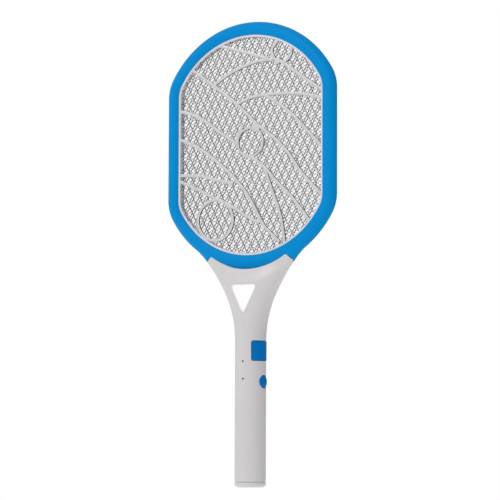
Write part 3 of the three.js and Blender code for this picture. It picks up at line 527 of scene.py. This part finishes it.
def lattice(name, pitch_x, pitch_z, phase, strand_top, strand_foot, y_top, y_foot):
    """Two families of crossing strands with sloping sides: a small pad at each crossing, and the strands."""
    slope = math.atan2(pitch_z, pitch_x)
    half_steps_x, half_steps_z = pitch_x / 2, pitch_z / 2
    middle = (OPENING["top"] + OPENING["bottom"]) / 2
    columns = math.ceil((OPENING["half_width"] + LATTICE_MARGIN) / half_steps_x)
    rows = math.ceil(LATTICE_HALF_HEIGHT / half_steps_z)
    widths = ((strand_top, y_top), (strand_foot, y_foot))
    corner_index, points = {}, []
    for i in range(-columns, columns + 1):
        for k in range(-rows, rows + 1):
            if (i + k) % 2:
                continue
            x, z = i * half_steps_x + phase[0], middle + k * half_steps_z + phase[1]
            for strand, y in widths:
                cx = strand / 2 / math.sin(slope)
                cz = strand / 2 / math.cos(slope)
                for dx, dz in ((cx, 0), (0, cz), (-cx, 0), (0, -cz)):
                    points.append((x + dx, y, z + dz))
            corner_index[(i, k)] = len(points) - 8
    faces = []
    for (i, k), at in corner_index.items():
        faces += [(at, at + 1, at + 2, at + 3), (at + 7, at + 6, at + 5, at + 4)]
        joined = [(1, 1), (-1, 1), (-1, -1), (1, -1)]
        for n, (di, dk) in enumerate(joined):
            other = corner_index.get((i + di, k + dk))
            a, b = n, (n + 1) % 4
            if other is None:
                faces.append((at + a, at + b, at + 4 + b, at + 4 + a))
            elif n < 2:
                far_a, far_b = (n + 3) % 4, (n + 2) % 4
                faces.append((at + a, at + b, other + far_b, other + far_a))
                faces.append((at + 4 + a, other + 4 + far_a, other + 4 + far_b, at + 4 + b))
                faces.append((at + b, at + 4 + b, other + 4 + far_b, other + far_b))
                faces.append((at + a, other + far_a, other + 4 + far_a, at + 4 + a))
    return make_mesh(name, points, faces, THIN_SHARP)


def rim_ring(name, inner, outer, near, far, soft):
    """A flat ring round the opening between two offsets and two depths, its edges rounded."""
    profile = [(inner, near + soft), (inner + soft, near), (outer - soft, near), (outer, near + soft),
               (outer, far - soft), (outer - soft, far), (inner + soft, far), (inner, far - soft)]
    points = []
    for x, z, out_x, out_z, _ in STATIONS:
        for reach, depth in profile:
            points.append((x + out_x * reach, depth, z + out_z * reach))
    return make_mesh(name, points, grid_faces(len(STATIONS), len(profile), True, True))


def strip(line, width, y_top, y_foot, soft=0.35, closed=False):
    """A flat band along a line in X and Z, its upper edges rounded."""
    rows = len(line)
    profile = [(-width / 2, y_foot), (-width / 2, y_top + soft),
               (-width / 2 + soft * 0.3, y_top + soft * 0.3), (-width / 2 + soft, y_top),
               (width / 2 - soft, y_top),
               (width / 2 - soft * 0.3, y_top + soft * 0.3), (width / 2, y_top + soft), (width / 2, y_foot)]
    points = []
    for i, place in enumerate(line):
        if closed:
            before, after = Vector(line[i - 1]), Vector(line[(i + 1) % rows])
        else:
            before, after = Vector(line[max(i - 1, 0)]), Vector(line[min(i + 1, rows - 1)])
        along = (after - before).normalized()
        for across, y in profile:
            points.append((place[0] - along.y * across, y, place[1] + along.x * across))
    faces = grid_faces(rows, len(profile), wrap_rows=closed, wrap_columns=True)
    if not closed:
        last = len(points) - 1
        faces += [tuple(range(len(profile))), tuple(range(last, last - len(profile), -1))]
    return make_mesh("tool", points, faces)


# Bands across the front net: fifteen sweeping curves, two rings and three discs, in X and Z.
# The curves' points and the centres of the rings and discs were picked over the photograph's net and
# converted to millimetres by a separate script that is not kept. They should be replaced.
BAND_WIDTH = 3.4
BANDS = [
    [(-78, 448), (-45, 425), (-16, 403), (8, 381), (29, 365), (47, 347), (60, 329), (76, 312), (92, 297)],
    [(-45, 425), (-26, 436), (-8, 443), (8, 447), (28, 448)],
    [(-48, 470), (-20, 462), (0, 456), (22, 449)],
    [(30, 447), (26, 457), (30, 464), (37, 471)],
    [(41, 444), (49, 452), (48, 466)],
    [(36, 446), (56, 432), (70, 422), (92, 408)],
    [(-16, 403), (0, 409), (17, 411), (36, 411), (56, 410), (72, 407), (92, 401)],
    [(17, 411), (32, 402), (50, 389), (66, 373), (78, 361), (92, 346)],
    [(-92, 401), (-70, 395), (-53, 386), (-36, 374), (-16, 361)],
    [(-16, 361), (-14, 371), (-9, 379)],
    [(0, 348), (17, 335), (32, 319), (50, 302), (66, 283), (76, 270)],
    [(17, 335), (24, 317), (32, 297), (38, 279), (42, 254)],
    [(-92, 372), (-69, 362), (-53, 353), (-35, 339), (-20, 326), (-8, 313), (2, 299), (11, 283), (18, 272),
     (36, 255)],
    [(-92, 331), (-61, 329), (-41, 324), (-20, 319)],
    [(-92, 327), (-66, 316), (-48, 307), (-34, 301), (-17, 292), (-4, 284), (12, 276)],
]
BAND_RINGS = [((0.5, 362), 15.2, 2.6), ((-42, 281), 21.4, 3.4)]
BAND_DISCS = [((7, 377), 4.6), ((1, 346), 2.6), ((33, 446), 3.6)]


def circle_line(centre, radius, steps=72):
    return [(centre[0] + radius * math.cos(2 * math.pi * i / steps),
             centre[1] + radius * math.sin(2 * math.pi * i / steps)) for i in range(steps)]


NET_LATTICE = {"pitch_x": 9.0, "pitch_z": 17.7, "strand_top": 0.36, "strand_foot": 0.70}
RIB_DEPTHS = (3.8, 2.85)
GRID_LATTICE = {"pitch_x": 6.05, "pitch_z": 3.7, "strand_top": 0.29, "strand_foot": 0.31}
GRID_PHASE = (0.6, 0.4)
GRID_HALF_THICKNESS = 0.3
GRID_HELD = 3.0
RIB_END = -1.2
BAND_FRONT = -3.7
BAND_BACK = -1.7


def head_block(offset):
    """A thick plate of the opening's outline, which trims what lies in it."""
    return prism(head_outline(offset), -10, 10)


def net_rim(side, name):
    """A net's flat rim, held between the ring and a spacer."""
    low, high = sorted((side * NET["front"], side * NET["back"]))
    return rim_ring(name, -NET["rim"], NET["held"], low, high, 0.3)


def net(side, name, phase):
    """A stamped net's ribs: a steep lattice, and on the front one the bands."""
    ribs = lattice(name, NET_LATTICE["pitch_x"], NET_LATTICE["pitch_z"], phase, NET_LATTICE["strand_top"],
                   NET_LATTICE["strand_foot"], *(side * depth for depth in RIB_DEPTHS))
    boolean(ribs, [head_block(RIB_END)], "INTERSECT", THIN_SHARP)
    parts = []
    if side < 0:
        trimmed = []
        for points in BANDS:
            trimmed.append(strip(smooth_line(points, 8), BAND_WIDTH, BAND_FRONT, BAND_BACK))
        for centre, radius, width in BAND_RINGS:
            trimmed.append(strip(circle_line(centre, radius), width, BAND_FRONT, BAND_BACK, closed=True))
        for (x, z), radius in BAND_DISCS:
            profile = [(0, -BAND_BACK), (radius, -BAND_BACK), (radius, -BAND_FRONT - 0.1),
                       (radius - 0.3, -BAND_FRONT + 0.1), (0, -BAND_FRONT + 0.15)]
            trimmed.append(turned("tool", profile, (x, 0, z), (0, -1, 0), 40))
        for piece in trimmed:
            parts.append(boolean(piece, [head_block(RIB_END)], "INTERSECT"))
    return boolean(ribs, parts, "UNION", THIN_SHARP)


def shock_grid():
    """The middle net of fine strands."""
    size = GRID_LATTICE
    mesh = lattice("shock_grid_mesh", size["pitch_x"], size["pitch_z"], GRID_PHASE, size["strand_top"],
                   size["strand_foot"], -GRID_HALF_THICKNESS, GRID_HALF_THICKNESS)
    return boolean(mesh, [head_block(GRID_HELD)], "INTERSECT", THIN_SHARP)


# ---- Buttons, lamp, cap and screws --------------------------------------------------------------


def box_piece(x0, x1, y0, y1, z0, z1):
    return prism([(x0, z0), (x1, z0), (x1, z1), (x0, z1)], y0, y1)


TRIGGER_ARM = {"half": 4.2, "left": 1, "right": 1.8, "low": 132.4, "high": 134.4}
TRIGGER_PAD = {"x": 10.4, "half": 2, "low": 143.2, "high": 145.2}
TRIGGER_HUB = {"radius": 2.2, "bore": 1.05, "past": 6}
TRIGGER_EDGE = 0.7


def trigger_piece():
    """The trigger's face, with the arm and hub that carry it and the pad that presses its switch."""
    arm, pad, hub = TRIGGER_ARM, TRIGGER_PAD, TRIGGER_HUB
    face = trigger_slab("trigger_face", TRIGGER_EDGE)
    pivot_x, pivot_z = TRIGGER_PIVOT
    inner = TRIGGER["outer"] - TRIGGER["thickness"] + 0.6
    parts = [
        rod(hub["radius"], -arm["half"], arm["half"], (pivot_x, 0, pivot_z), (0, 1, 0), 32),
        box_piece(pivot_x - arm["left"], pivot_x + arm["right"], -arm["half"], arm["half"], pivot_z,
                  arm["high"]),
        box_piece(pivot_x - arm["left"], inner, -arm["half"], arm["half"], arm["low"], arm["high"]),
        box_piece(pad["x"], inner, -pad["half"], pad["half"], pad["low"], pad["high"]),
    ]
    boolean(face, parts, "UNION")
    bore = rod(hub["bore"], -hub["past"], hub["past"], (pivot_x, 0, pivot_z), (0, 1, 0), 24)
    return boolean(face, [bore])


DOME_STEPS = 15
DOME_EDGE = 0.8


def push_button_piece():
    """The round button: a flange inside the shell, a straight side and a shallow dome."""
    radius, dome, face = PUSH["radius"], PUSH["dome"], PUSH["face"]
    sphere = (radius ** 2 + dome ** 2) / (2 * dome)
    profile = [(0, PUSH["flange_x"]), (PUSH["flange"], PUSH["flange_x"]),
               (PUSH["flange"], PUSH["flange_x"] + 1), (radius, PUSH["flange_x"] + 1),
               (radius, face - 0.3), (radius - 0.08, face + 0.05),
               (radius - 0.3, face + 0.35)]
    for i in range(1, DOME_STEPS):
        r = (radius - DOME_EDGE) * (1 - i / DOME_STEPS)
        profile.append((r, face + math.sqrt(sphere ** 2 - r ** 2) - (sphere - dome)))
    profile.append((0, face + dome))
    return turned("push_button_dome", profile, (0, 0, PUSH["z"]), (1, 0, 0), 72)


BEAD_STEPS = 10
BEAD_HEIGHT = 0.75
BEZEL_FOOT = 1.9
LENS = {"inset": 0.45, "back": 2.4, "rings": 10, "centre": 0.64, "swell": 0.25}


def lamp_pieces():
    """The bezel, a rounded bead round the window, and the lens set down inside it."""
    bead = (LAMP["bezel"] - GAP) / 2
    profile = [(LAMP["bezel"], BEZEL_FOOT)]
    for k in range(BEAD_STEPS + 1):
        turn = math.pi * k / BEAD_STEPS
        profile.append((GAP + bead * (1 + math.cos(turn)), 0.1 - BEAD_HEIGHT * math.sin(turn)))
    profile.append((GAP, BEZEL_FOOT))
    points = []
    for margin, inset in profile:
        for x, z in lamp_outline(margin):
            points.append((x, -face_depth(x, z) + inset, z))
    count = len(lamp_outline(0))
    bezel = make_mesh("lamp_bezel_frame", points, grid_faces(len(profile), count, True, True))
    rings = LENS["rings"]
    outline = lamp_outline(GAP - 0.05)
    centre = Vector((0, LAMP["tip"] + (LAMP["top"] - LAMP["tip"]) * LENS["centre"]))
    points = []
    for inset in (LENS["inset"], LENS["back"]):
        for ring in range(rings):
            share = 1 - ring / rings
            for x, z in outline:
                place = centre + (Vector((x, z)) - centre) * share
                swell = LENS["swell"] * (1 - share ** 2) if inset < LENS["back"] else 0.0
                points.append((place.x, -face_depth(place.x, place.y) + inset - swell, place.y))
    faces = grid_faces(rings, count, wrap_columns=True)
    faces += [tuple(rings * count + i for i in face) for face in grid_faces(rings, count, wrap_columns=True)]
    faces += [(k, (k + 1) % count, rings * count + (k + 1) % count, rings * count + k) for k in range(count)]
    faces += [tuple((rings - 1) * count + k for k in range(count)),
              tuple((2 * rings - 1) * count + k for k in range(count))]
    return bezel, make_mesh("lamp_window", points, faces)


FILLET_STEPS = 10
SOCKET_MARGIN = 2.1


def butt_cap_piece():
    """The rounded cap, with a spigot inside the shells and a hole for the charging socket."""
    radius, fillet = HANDLE["radius"], CAP["fillet"]
    inner = CAP["spigot"] - CAP["wall"]
    profile = [(0, 0), (radius - fillet, 0)]
    for i in range(1, FILLET_STEPS + 1):
        angle = math.pi / 2 * i / FILLET_STEPS
        profile.append((radius - fillet * (1 - math.sin(angle)), fillet * (1 - math.cos(angle))))
    top = HANDLE["start"] - GAP
    profile += [(radius, top - 0.3), (radius - 0.3, top), (CAP["spigot"], top), (CAP["spigot"], CAP["top"]),
                (inner, CAP["top"]), (inner, CAP["floor"]), (0, CAP["floor"])]
    cap = turned("butt_cap_shell", profile, (0, 0, 0), (0, 0, 1), 96)
    hole = rod(SOCKET["hole"] + SOCKET_MARGIN, -1, CAP["floor"] + 1, (0, SOCKET["y"], 0), (0, 0, 1), 40)
    return boolean(cap, [hole])


def screw_piece(name, x, z, seat, head_radius):
    """A pan-head screw with a cross recess, its head facing the rear."""
    thick = head_radius * 0.42
    profile = [(0, seat - 6.5), (0.55, seat - 6), (1.1, seat - 5), (1.1, seat), (head_radius, seat),
               (head_radius, seat + thick * 0.45), (head_radius * 0.88, seat + thick * 0.8),
               (head_radius * 0.6, seat + thick), (0, seat + thick * 1.08)]
    head = turned(name, profile, (x, 0, z), (0, 1, 0), 40)
    tools = []
    for turn in (0.5, 0.5 + math.pi / 2):
        long, wide = head_radius * 0.6, head_radius * 0.15
        along = Vector((math.cos(turn), math.sin(turn)))
        side = Vector((-along.y, along.x))
        corners = [along * a * long + side * b * wide for a, b in ((-1, -1), (1, -1), (1, 1), (-1, 1))]
        tools.append(prism([(x + c.x, z + c.y) for c in corners], seat + thick * 0.35, seat + 3))
    return boolean(head, tools)


# ---- Materials ----------------------------------------------------------------------------------


DRIFT_SCALE = 18.0
SMEAR_SCALE = 95.0
GRAIN_STRENGTH = 0.35
COAT_ROUGHNESS = 0.12
# Facing range over which the edge colour, a painted shade, gives way to the base colour.
SIDE_SHADE_FROM, SIDE_SHADE_TO = 0.3, 0.85


def srgb(red, green, blue):
    def channel(value):
        value /= 255
        return value / 12.92 if value <= 0.04045 else ((value + 0.055) / 1.055) ** 2.4
    return channel(red), channel(green), channel(blue), 1.0


def material(name, colour, rough, metal=0.0, grain=0.012, grain_scale=2600.0, tone=0.05, coat=0.0,
             specular=0.5, emission=0.0, edge=None):
    """A moulded, cast or stamped finish: drifting tone, drifting roughness, and a fine grain.

    Where an edge colour is given, faces turned away from front and rear take it: cut metal is a little
    darker, and the rest is painted shade on the sides of strands and ribs.
    """
    made = bpy.data.materials.new(name)
    made.use_nodes = True
    nodes, links = made.node_tree.nodes, made.node_tree.links
    shader = nodes["Principled BSDF"]
    shader.inputs["Metallic"].default_value = metal
    shader.inputs["Specular IOR Level"].default_value = specular
    shader.inputs["Coat Weight"].default_value = coat
    shader.inputs["Coat Roughness"].default_value = COAT_ROUGHNESS
    place = nodes.new("ShaderNodeTexCoord")

    def noise(scale, detail):
        texture = nodes.new("ShaderNodeTexNoise")
        texture.inputs["Scale"].default_value = scale
        texture.inputs["Detail"].default_value = detail
        links.new(place.outputs["Object"], texture.inputs["Vector"])
        return texture

    drift = noise(DRIFT_SCALE, 3.0)
    ramp = nodes.new("ShaderNodeValToRGB")
    base = srgb(*colour)
    ramp.color_ramp.elements[0].position = 0.3
    ramp.color_ramp.elements[1].position = 0.7
    ramp.color_ramp.elements[0].color = tuple(c * (1 - tone) for c in base[:3]) + (1.0,)
    ramp.color_ramp.elements[1].color = tuple(min(c * (1 + tone), 1.0) for c in base[:3]) + (1.0,)
    links.new(drift.outputs["Fac"], ramp.inputs["Fac"])
    # The edge colour is painted shade: faces turned away from front and rear are darkened as shade would
    # darken them.
    if edge:
        turned_to = nodes.new("ShaderNodeSeparateXYZ")
        links.new(place.outputs["Normal"], turned_to.inputs["Vector"])
        facing = nodes.new("ShaderNodeMath")
        facing.operation = "ABSOLUTE"
        links.new(turned_to.outputs["Y"], facing.inputs[0])
        share = nodes.new("ShaderNodeMapRange")
        share.inputs["From Min"].default_value = SIDE_SHADE_FROM
        share.inputs["From Max"].default_value = SIDE_SHADE_TO
        links.new(facing.outputs["Value"], share.inputs["Value"])
        mix = nodes.new("ShaderNodeMixRGB")
        mix.inputs["Color1"].default_value = srgb(*edge)
        links.new(share.outputs["Result"], mix.inputs["Fac"])
        links.new(ramp.outputs["Color"], mix.inputs["Color2"])
        links.new(mix.outputs["Color"], shader.inputs["Base Color"])
    else:
        links.new(ramp.outputs["Color"], shader.inputs["Base Color"])

    smear = noise(SMEAR_SCALE, 5.0)
    spread = nodes.new("ShaderNodeMapRange")
    spread.inputs["To Min"].default_value = rough * 0.85
    spread.inputs["To Max"].default_value = min(rough * 1.2, 1.0)
    links.new(smear.outputs["Fac"], spread.inputs["Value"])
    links.new(spread.outputs["Result"], shader.inputs["Roughness"])

    fine = noise(grain_scale, 2.0)
    bump = nodes.new("ShaderNodeBump")
    bump.inputs["Strength"].default_value = GRAIN_STRENGTH
    bump.inputs["Distance"].default_value = grain * MM
    links.new(fine.outputs["Fac"], bump.inputs["Height"])
    links.new(bump.outputs["Normal"], shader.inputs["Normal"])
    if emission:
        shader.inputs["Emission Color"].default_value = (1.0, 1.0, 1.0, 1.0)
        shader.inputs["Emission Strength"].default_value = emission
    return made


MATERIALS = {
    "ring_blue": material("ring_blue", (0, 134, 200), 0.42, tone=0.02, grain=0.02, specular=0.05),
    # The buttons' blue is the ring's blue made darker: painted shade on the buttons.
    "button_blue": material("button_blue", (0, 108, 182), 0.5, tone=0.02, grain=0.015, specular=0.04),
    "handle_white": material("handle_white", (202, 199, 199), 0.34, tone=0.012, grain=0.015),
    # The bezel's white is the handle's white made lighter: a painted highlight on the lamp's bezel.
    "bezel_painted_highlight": material("bezel_painted_highlight", (236, 231, 234), 0.3, tone=0.01, grain=0.01),
    # The nets' edge colour is painted shade on the sides of their ribs.
    "net_aluminium": material("net_aluminium", (202, 202, 204), 0.42, metal=0.3, tone=0.04, grain=0.03,
                              edge=(30, 30, 32)),
    "rim_aluminium": material("rim_aluminium", (212, 213, 220), 0.45, metal=0.2, tone=0.03, grain=0.02),
    # The grid's edge colour is painted shade on the sides of its strands.
    "grid_aluminium": material("grid_aluminium", (90, 90, 92), 0.4, metal=0.4, tone=0.08, grain=0.03,
                               edge=(80, 80, 82)),
    # The spacers glow with an emission of 0.1: painted light that lifts their shaded inner walls. Their
    # colour is a white plastic's, made lighter than that for the same reason.
    "spacer_plastic": material("spacer_plastic", (244, 232, 228), 0.6, tone=0.03, emission=0.1),
    "lamp_lens": material("lamp_lens", (250, 250, 250), 0.22, tone=0.01, emission=0.4),
    "led_clear": material("led_clear", (225, 230, 235), 0.12, coat=0.6),
    "led_red": material("led_red", (72, 30, 26), 0.3, coat=0.8, tone=0.1),
    "led_dark": material("led_dark", (34, 33, 36), 0.3, coat=0.8, tone=0.1),
    "screw_steel": material("screw_steel", (176, 178, 182), 0.3, metal=1.0, tone=0.08, grain=0.03),
    "spring_steel": material("spring_steel", (170, 172, 176), 0.28, metal=1.0, tone=0.08),
    "black_plastic": material("black_plastic", (38, 38, 40), 0.5, tone=0.1, grain=0.03),
    "board_green": material("board_green", (40, 104, 66), 0.45, tone=0.15, coat=0.3),
    "ferrite": material("ferrite", (58, 59, 62), 0.75, tone=0.12, grain=0.06),
    "copper_winding": material("copper_winding", (176, 96, 44), 0.35, metal=0.7, tone=0.15),
    "capacitor_red": material("capacitor_red", (160, 52, 38), 0.35, tone=0.08, coat=0.4),
    "battery_wrap": material("battery_wrap", (52, 118, 84), 0.3, tone=0.05, coat=0.3),
    "red_lead": material("red_lead", (170, 36, 32), 0.45, tone=0.05),
    "black_lead": material("black_lead", (36, 36, 38), 0.45, tone=0.05),
    "resistor_tan": material("resistor_tan", (196, 178, 136), 0.5, tone=0.06),
    "contact_brass": material("contact_brass", (196, 160, 76), 0.3, metal=1.0, tone=0.08),
}


def dress(obj, slot_name, body="casing", stands_for=(), finish=None):
    """Gives a piece the material of its finish, or else of its slot, puts it under its body, and hides the
    CAD nodes that it stands for.

    The material has the slot's name unless a finish is named.
    """
    obj.data.materials.clear()
    obj.data.materials.append(MATERIALS[finish or slot_name])
    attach(obj, body)
    if stands_for:
        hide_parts(*stands_for)


# ---- The pieces ---------------------------------------------------------------------------------

ring_section = ring_skin + RING_CHANNEL
front_ring = ring_loft("front_ring", ring_section, -1)
dress(front_ring, "ring_blue", stands_for=["front_frame"])

screw_radius = OPENING["end_radius"] + FRAME_SCREW_OFFSET
side_x = OPENING["half_width"] + FRAME_SCREW_OFFSET
frame_screws = []
for side in (-1, 1):
    frame_screws += [(side * side_x, z) for z in FRAME_SCREW_HEIGHTS]
    frame_screws.append((side * screw_radius * 0.5, TOP_CENTRE + screw_radius * math.sqrt(0.75)))
rear_ring = ring_loft("rear_ring", ring_section, 1)
boolean(rear_ring, [rod(FRAME_SCREW["hole"], FRAME_SCREW["hole_from"], FRAME_SCREW["hole_to"],
                        (x, 0, z), (0, 1, 0), 40) for x, z in frame_screws])
dress(rear_ring, "ring_blue", stands_for=["rear_frame"])

for side, node, phase in ((-1, "front_net", (1.2, 2.0)), (1, "rear_net", (-0.9, -0.1))):
    dress(net(side, node + "_ribs", phase), "net_aluminium", stands_for=[node])
    dress(net_rim(side, node + "_rim"), "net_aluminium", stands_for=[node], finish="rim_aluminium")
dress(shock_grid(), "grid_aluminium", stands_for=["shock_grid"])
for side, node in ((-1, "front_spacer_ring"), (1, "rear_spacer_ring")):
    low, high = sorted((side * SPACER["near"], side * SPACER["far"]))
    spacer = rim_ring(node + "_smooth", SPACER["inner"], SPACER["outer"], low, high, 0.25)
    dress(spacer, "spacer_plastic", stands_for=[node])

dress(handle_shell(-1, "front_shell"), "handle_white", stands_for=["front_handle_shell"])
dress(handle_shell(1, "rear_shell"), "handle_white", stands_for=["rear_handle_shell"])
dress(butt_cap_piece(), "handle_white", stands_for=["butt_cap"])
bezel, window = lamp_pieces()
# The bezel takes the lighter white, a painted highlight.
dress(bezel, "handle_white", stands_for=["lamp_bezel"], finish="bezel_painted_highlight")
dress(window, "lamp_lens", stands_for=["lamp_lens"])
dress(trigger_piece(), "button_blue", "trigger", ["trigger_button"])
dress(push_button_piece(), "button_blue", "push_button", ["push_button"])

for number, (x, z) in enumerate(HANDLE_SCREWS, 1):
    seat = face_depth(x, z) - SCREW["seat"] + SEAT_PLAY
    dress(screw_piece(f"handle_screw_{number}_head", x, z, seat, HANDLE_SCREW_HEAD), "screw_steel",
          stands_for=[f"handle_screw_{number}"])
for number, (x, z) in enumerate(frame_screws, 1):
    dress(screw_piece(f"frame_screw_{number}_head", x, z, FRAME_SCREW["seat"], FRAME_SCREW["head"]),
          "screw_steel",
          stands_for=[f"frame_screw_{number}"])

# CAD nodes that are shown as they are get their slot's material.
for entry in frame["record"]["subparts"]:
    node = frame["nodes"][entry["node"]]
    node.data.materials.clear()
    node.data.materials.append(MATERIALS[entry["material_slot"]])

# ---- Studio -------------------------------------------------------------------------------------

FLOOR_Z = -600.0
FLOOR_HALF = 9000.0
floor = make_mesh("floor", [(-FLOOR_HALF, -FLOOR_HALF, FLOOR_Z), (FLOOR_HALF, -FLOOR_HALF, FLOOR_Z),
                            (FLOOR_HALF, FLOOR_HALF, FLOOR_Z), (-FLOOR_HALF, FLOOR_HALF, FLOOR_Z)],
                  [(0, 1, 2, 3)])
floor.data.materials.append(material("floor_white", (250, 250, 250), 0.7, tone=0.005, emission=0.26))

BRIGHT_SIDE = Vector((-0.4, -0.4, 0.75)).normalized()
world = bpy.data.worlds.new("studio")
bpy.context.scene.world = world
world.use_nodes = True
nodes, links = world.node_tree.nodes, world.node_tree.links
background = nodes["Background"]
direction = nodes.new("ShaderNodeTexCoord")
towards = nodes.new("ShaderNodeVectorMath")
towards.operation = "DOT_PRODUCT"
towards.inputs[1].default_value = BRIGHT_SIDE
links.new(direction.outputs["Generated"], towards.inputs[0])
height = nodes.new("ShaderNodeMapRange")
height.inputs["From Min"].default_value = -1.0
links.new(towards.outputs["Value"], height.inputs["Value"])
sky = nodes.new("ShaderNodeValToRGB")
sky.color_ramp.elements[0].color = (0.26, 0.26, 0.26, 1.0)
sky.color_ramp.elements[1].color = (0.78, 0.78, 0.8, 1.0)
links.new(height.outputs["Result"], sky.inputs["Fac"])
paths = nodes.new("ShaderNodeLightPath")
plain = nodes.new("ShaderNodeBackground")
plain.inputs["Color"].default_value = (1.0, 1.0, 1.0, 1.0)
links.new(sky.outputs["Color"], background.inputs["Color"])
choose = nodes.new("ShaderNodeMixShader")
links.new(paths.outputs["Is Camera Ray"], choose.inputs["Fac"])
links.new(background.outputs["Background"], choose.inputs[1])
links.new(plain.outputs["Background"], choose.inputs[2])
links.new(choose.outputs["Shader"], nodes["World Output"].inputs["Surface"])


def area_light(name, place, size, power, aim=(0.0, 0.0, 0.28)):
    data = bpy.data.lights.new(name, "AREA")
    data.shape = "RECTANGLE"
    data.size, data.size_y = size
    data.energy = power
    lamp = bpy.data.objects.new(name, data)
    lamp.location = place
    lamp.rotation_euler = (Vector(aim) - Vector(place)).to_track_quat("-Z", "Y").to_euler()
    bpy.context.scene.collection.objects.link(lamp)


area_light("key", (-0.6, -1.95, 2.0), (1.2, 1.2), 22.0)
area_light("fill", (1.9, -1.5, 0.5), (1.0, 1.6), 1.5)
area_light("back", (-0.8, 2.0, 1.6), (1.2, 1.2), 14.0)
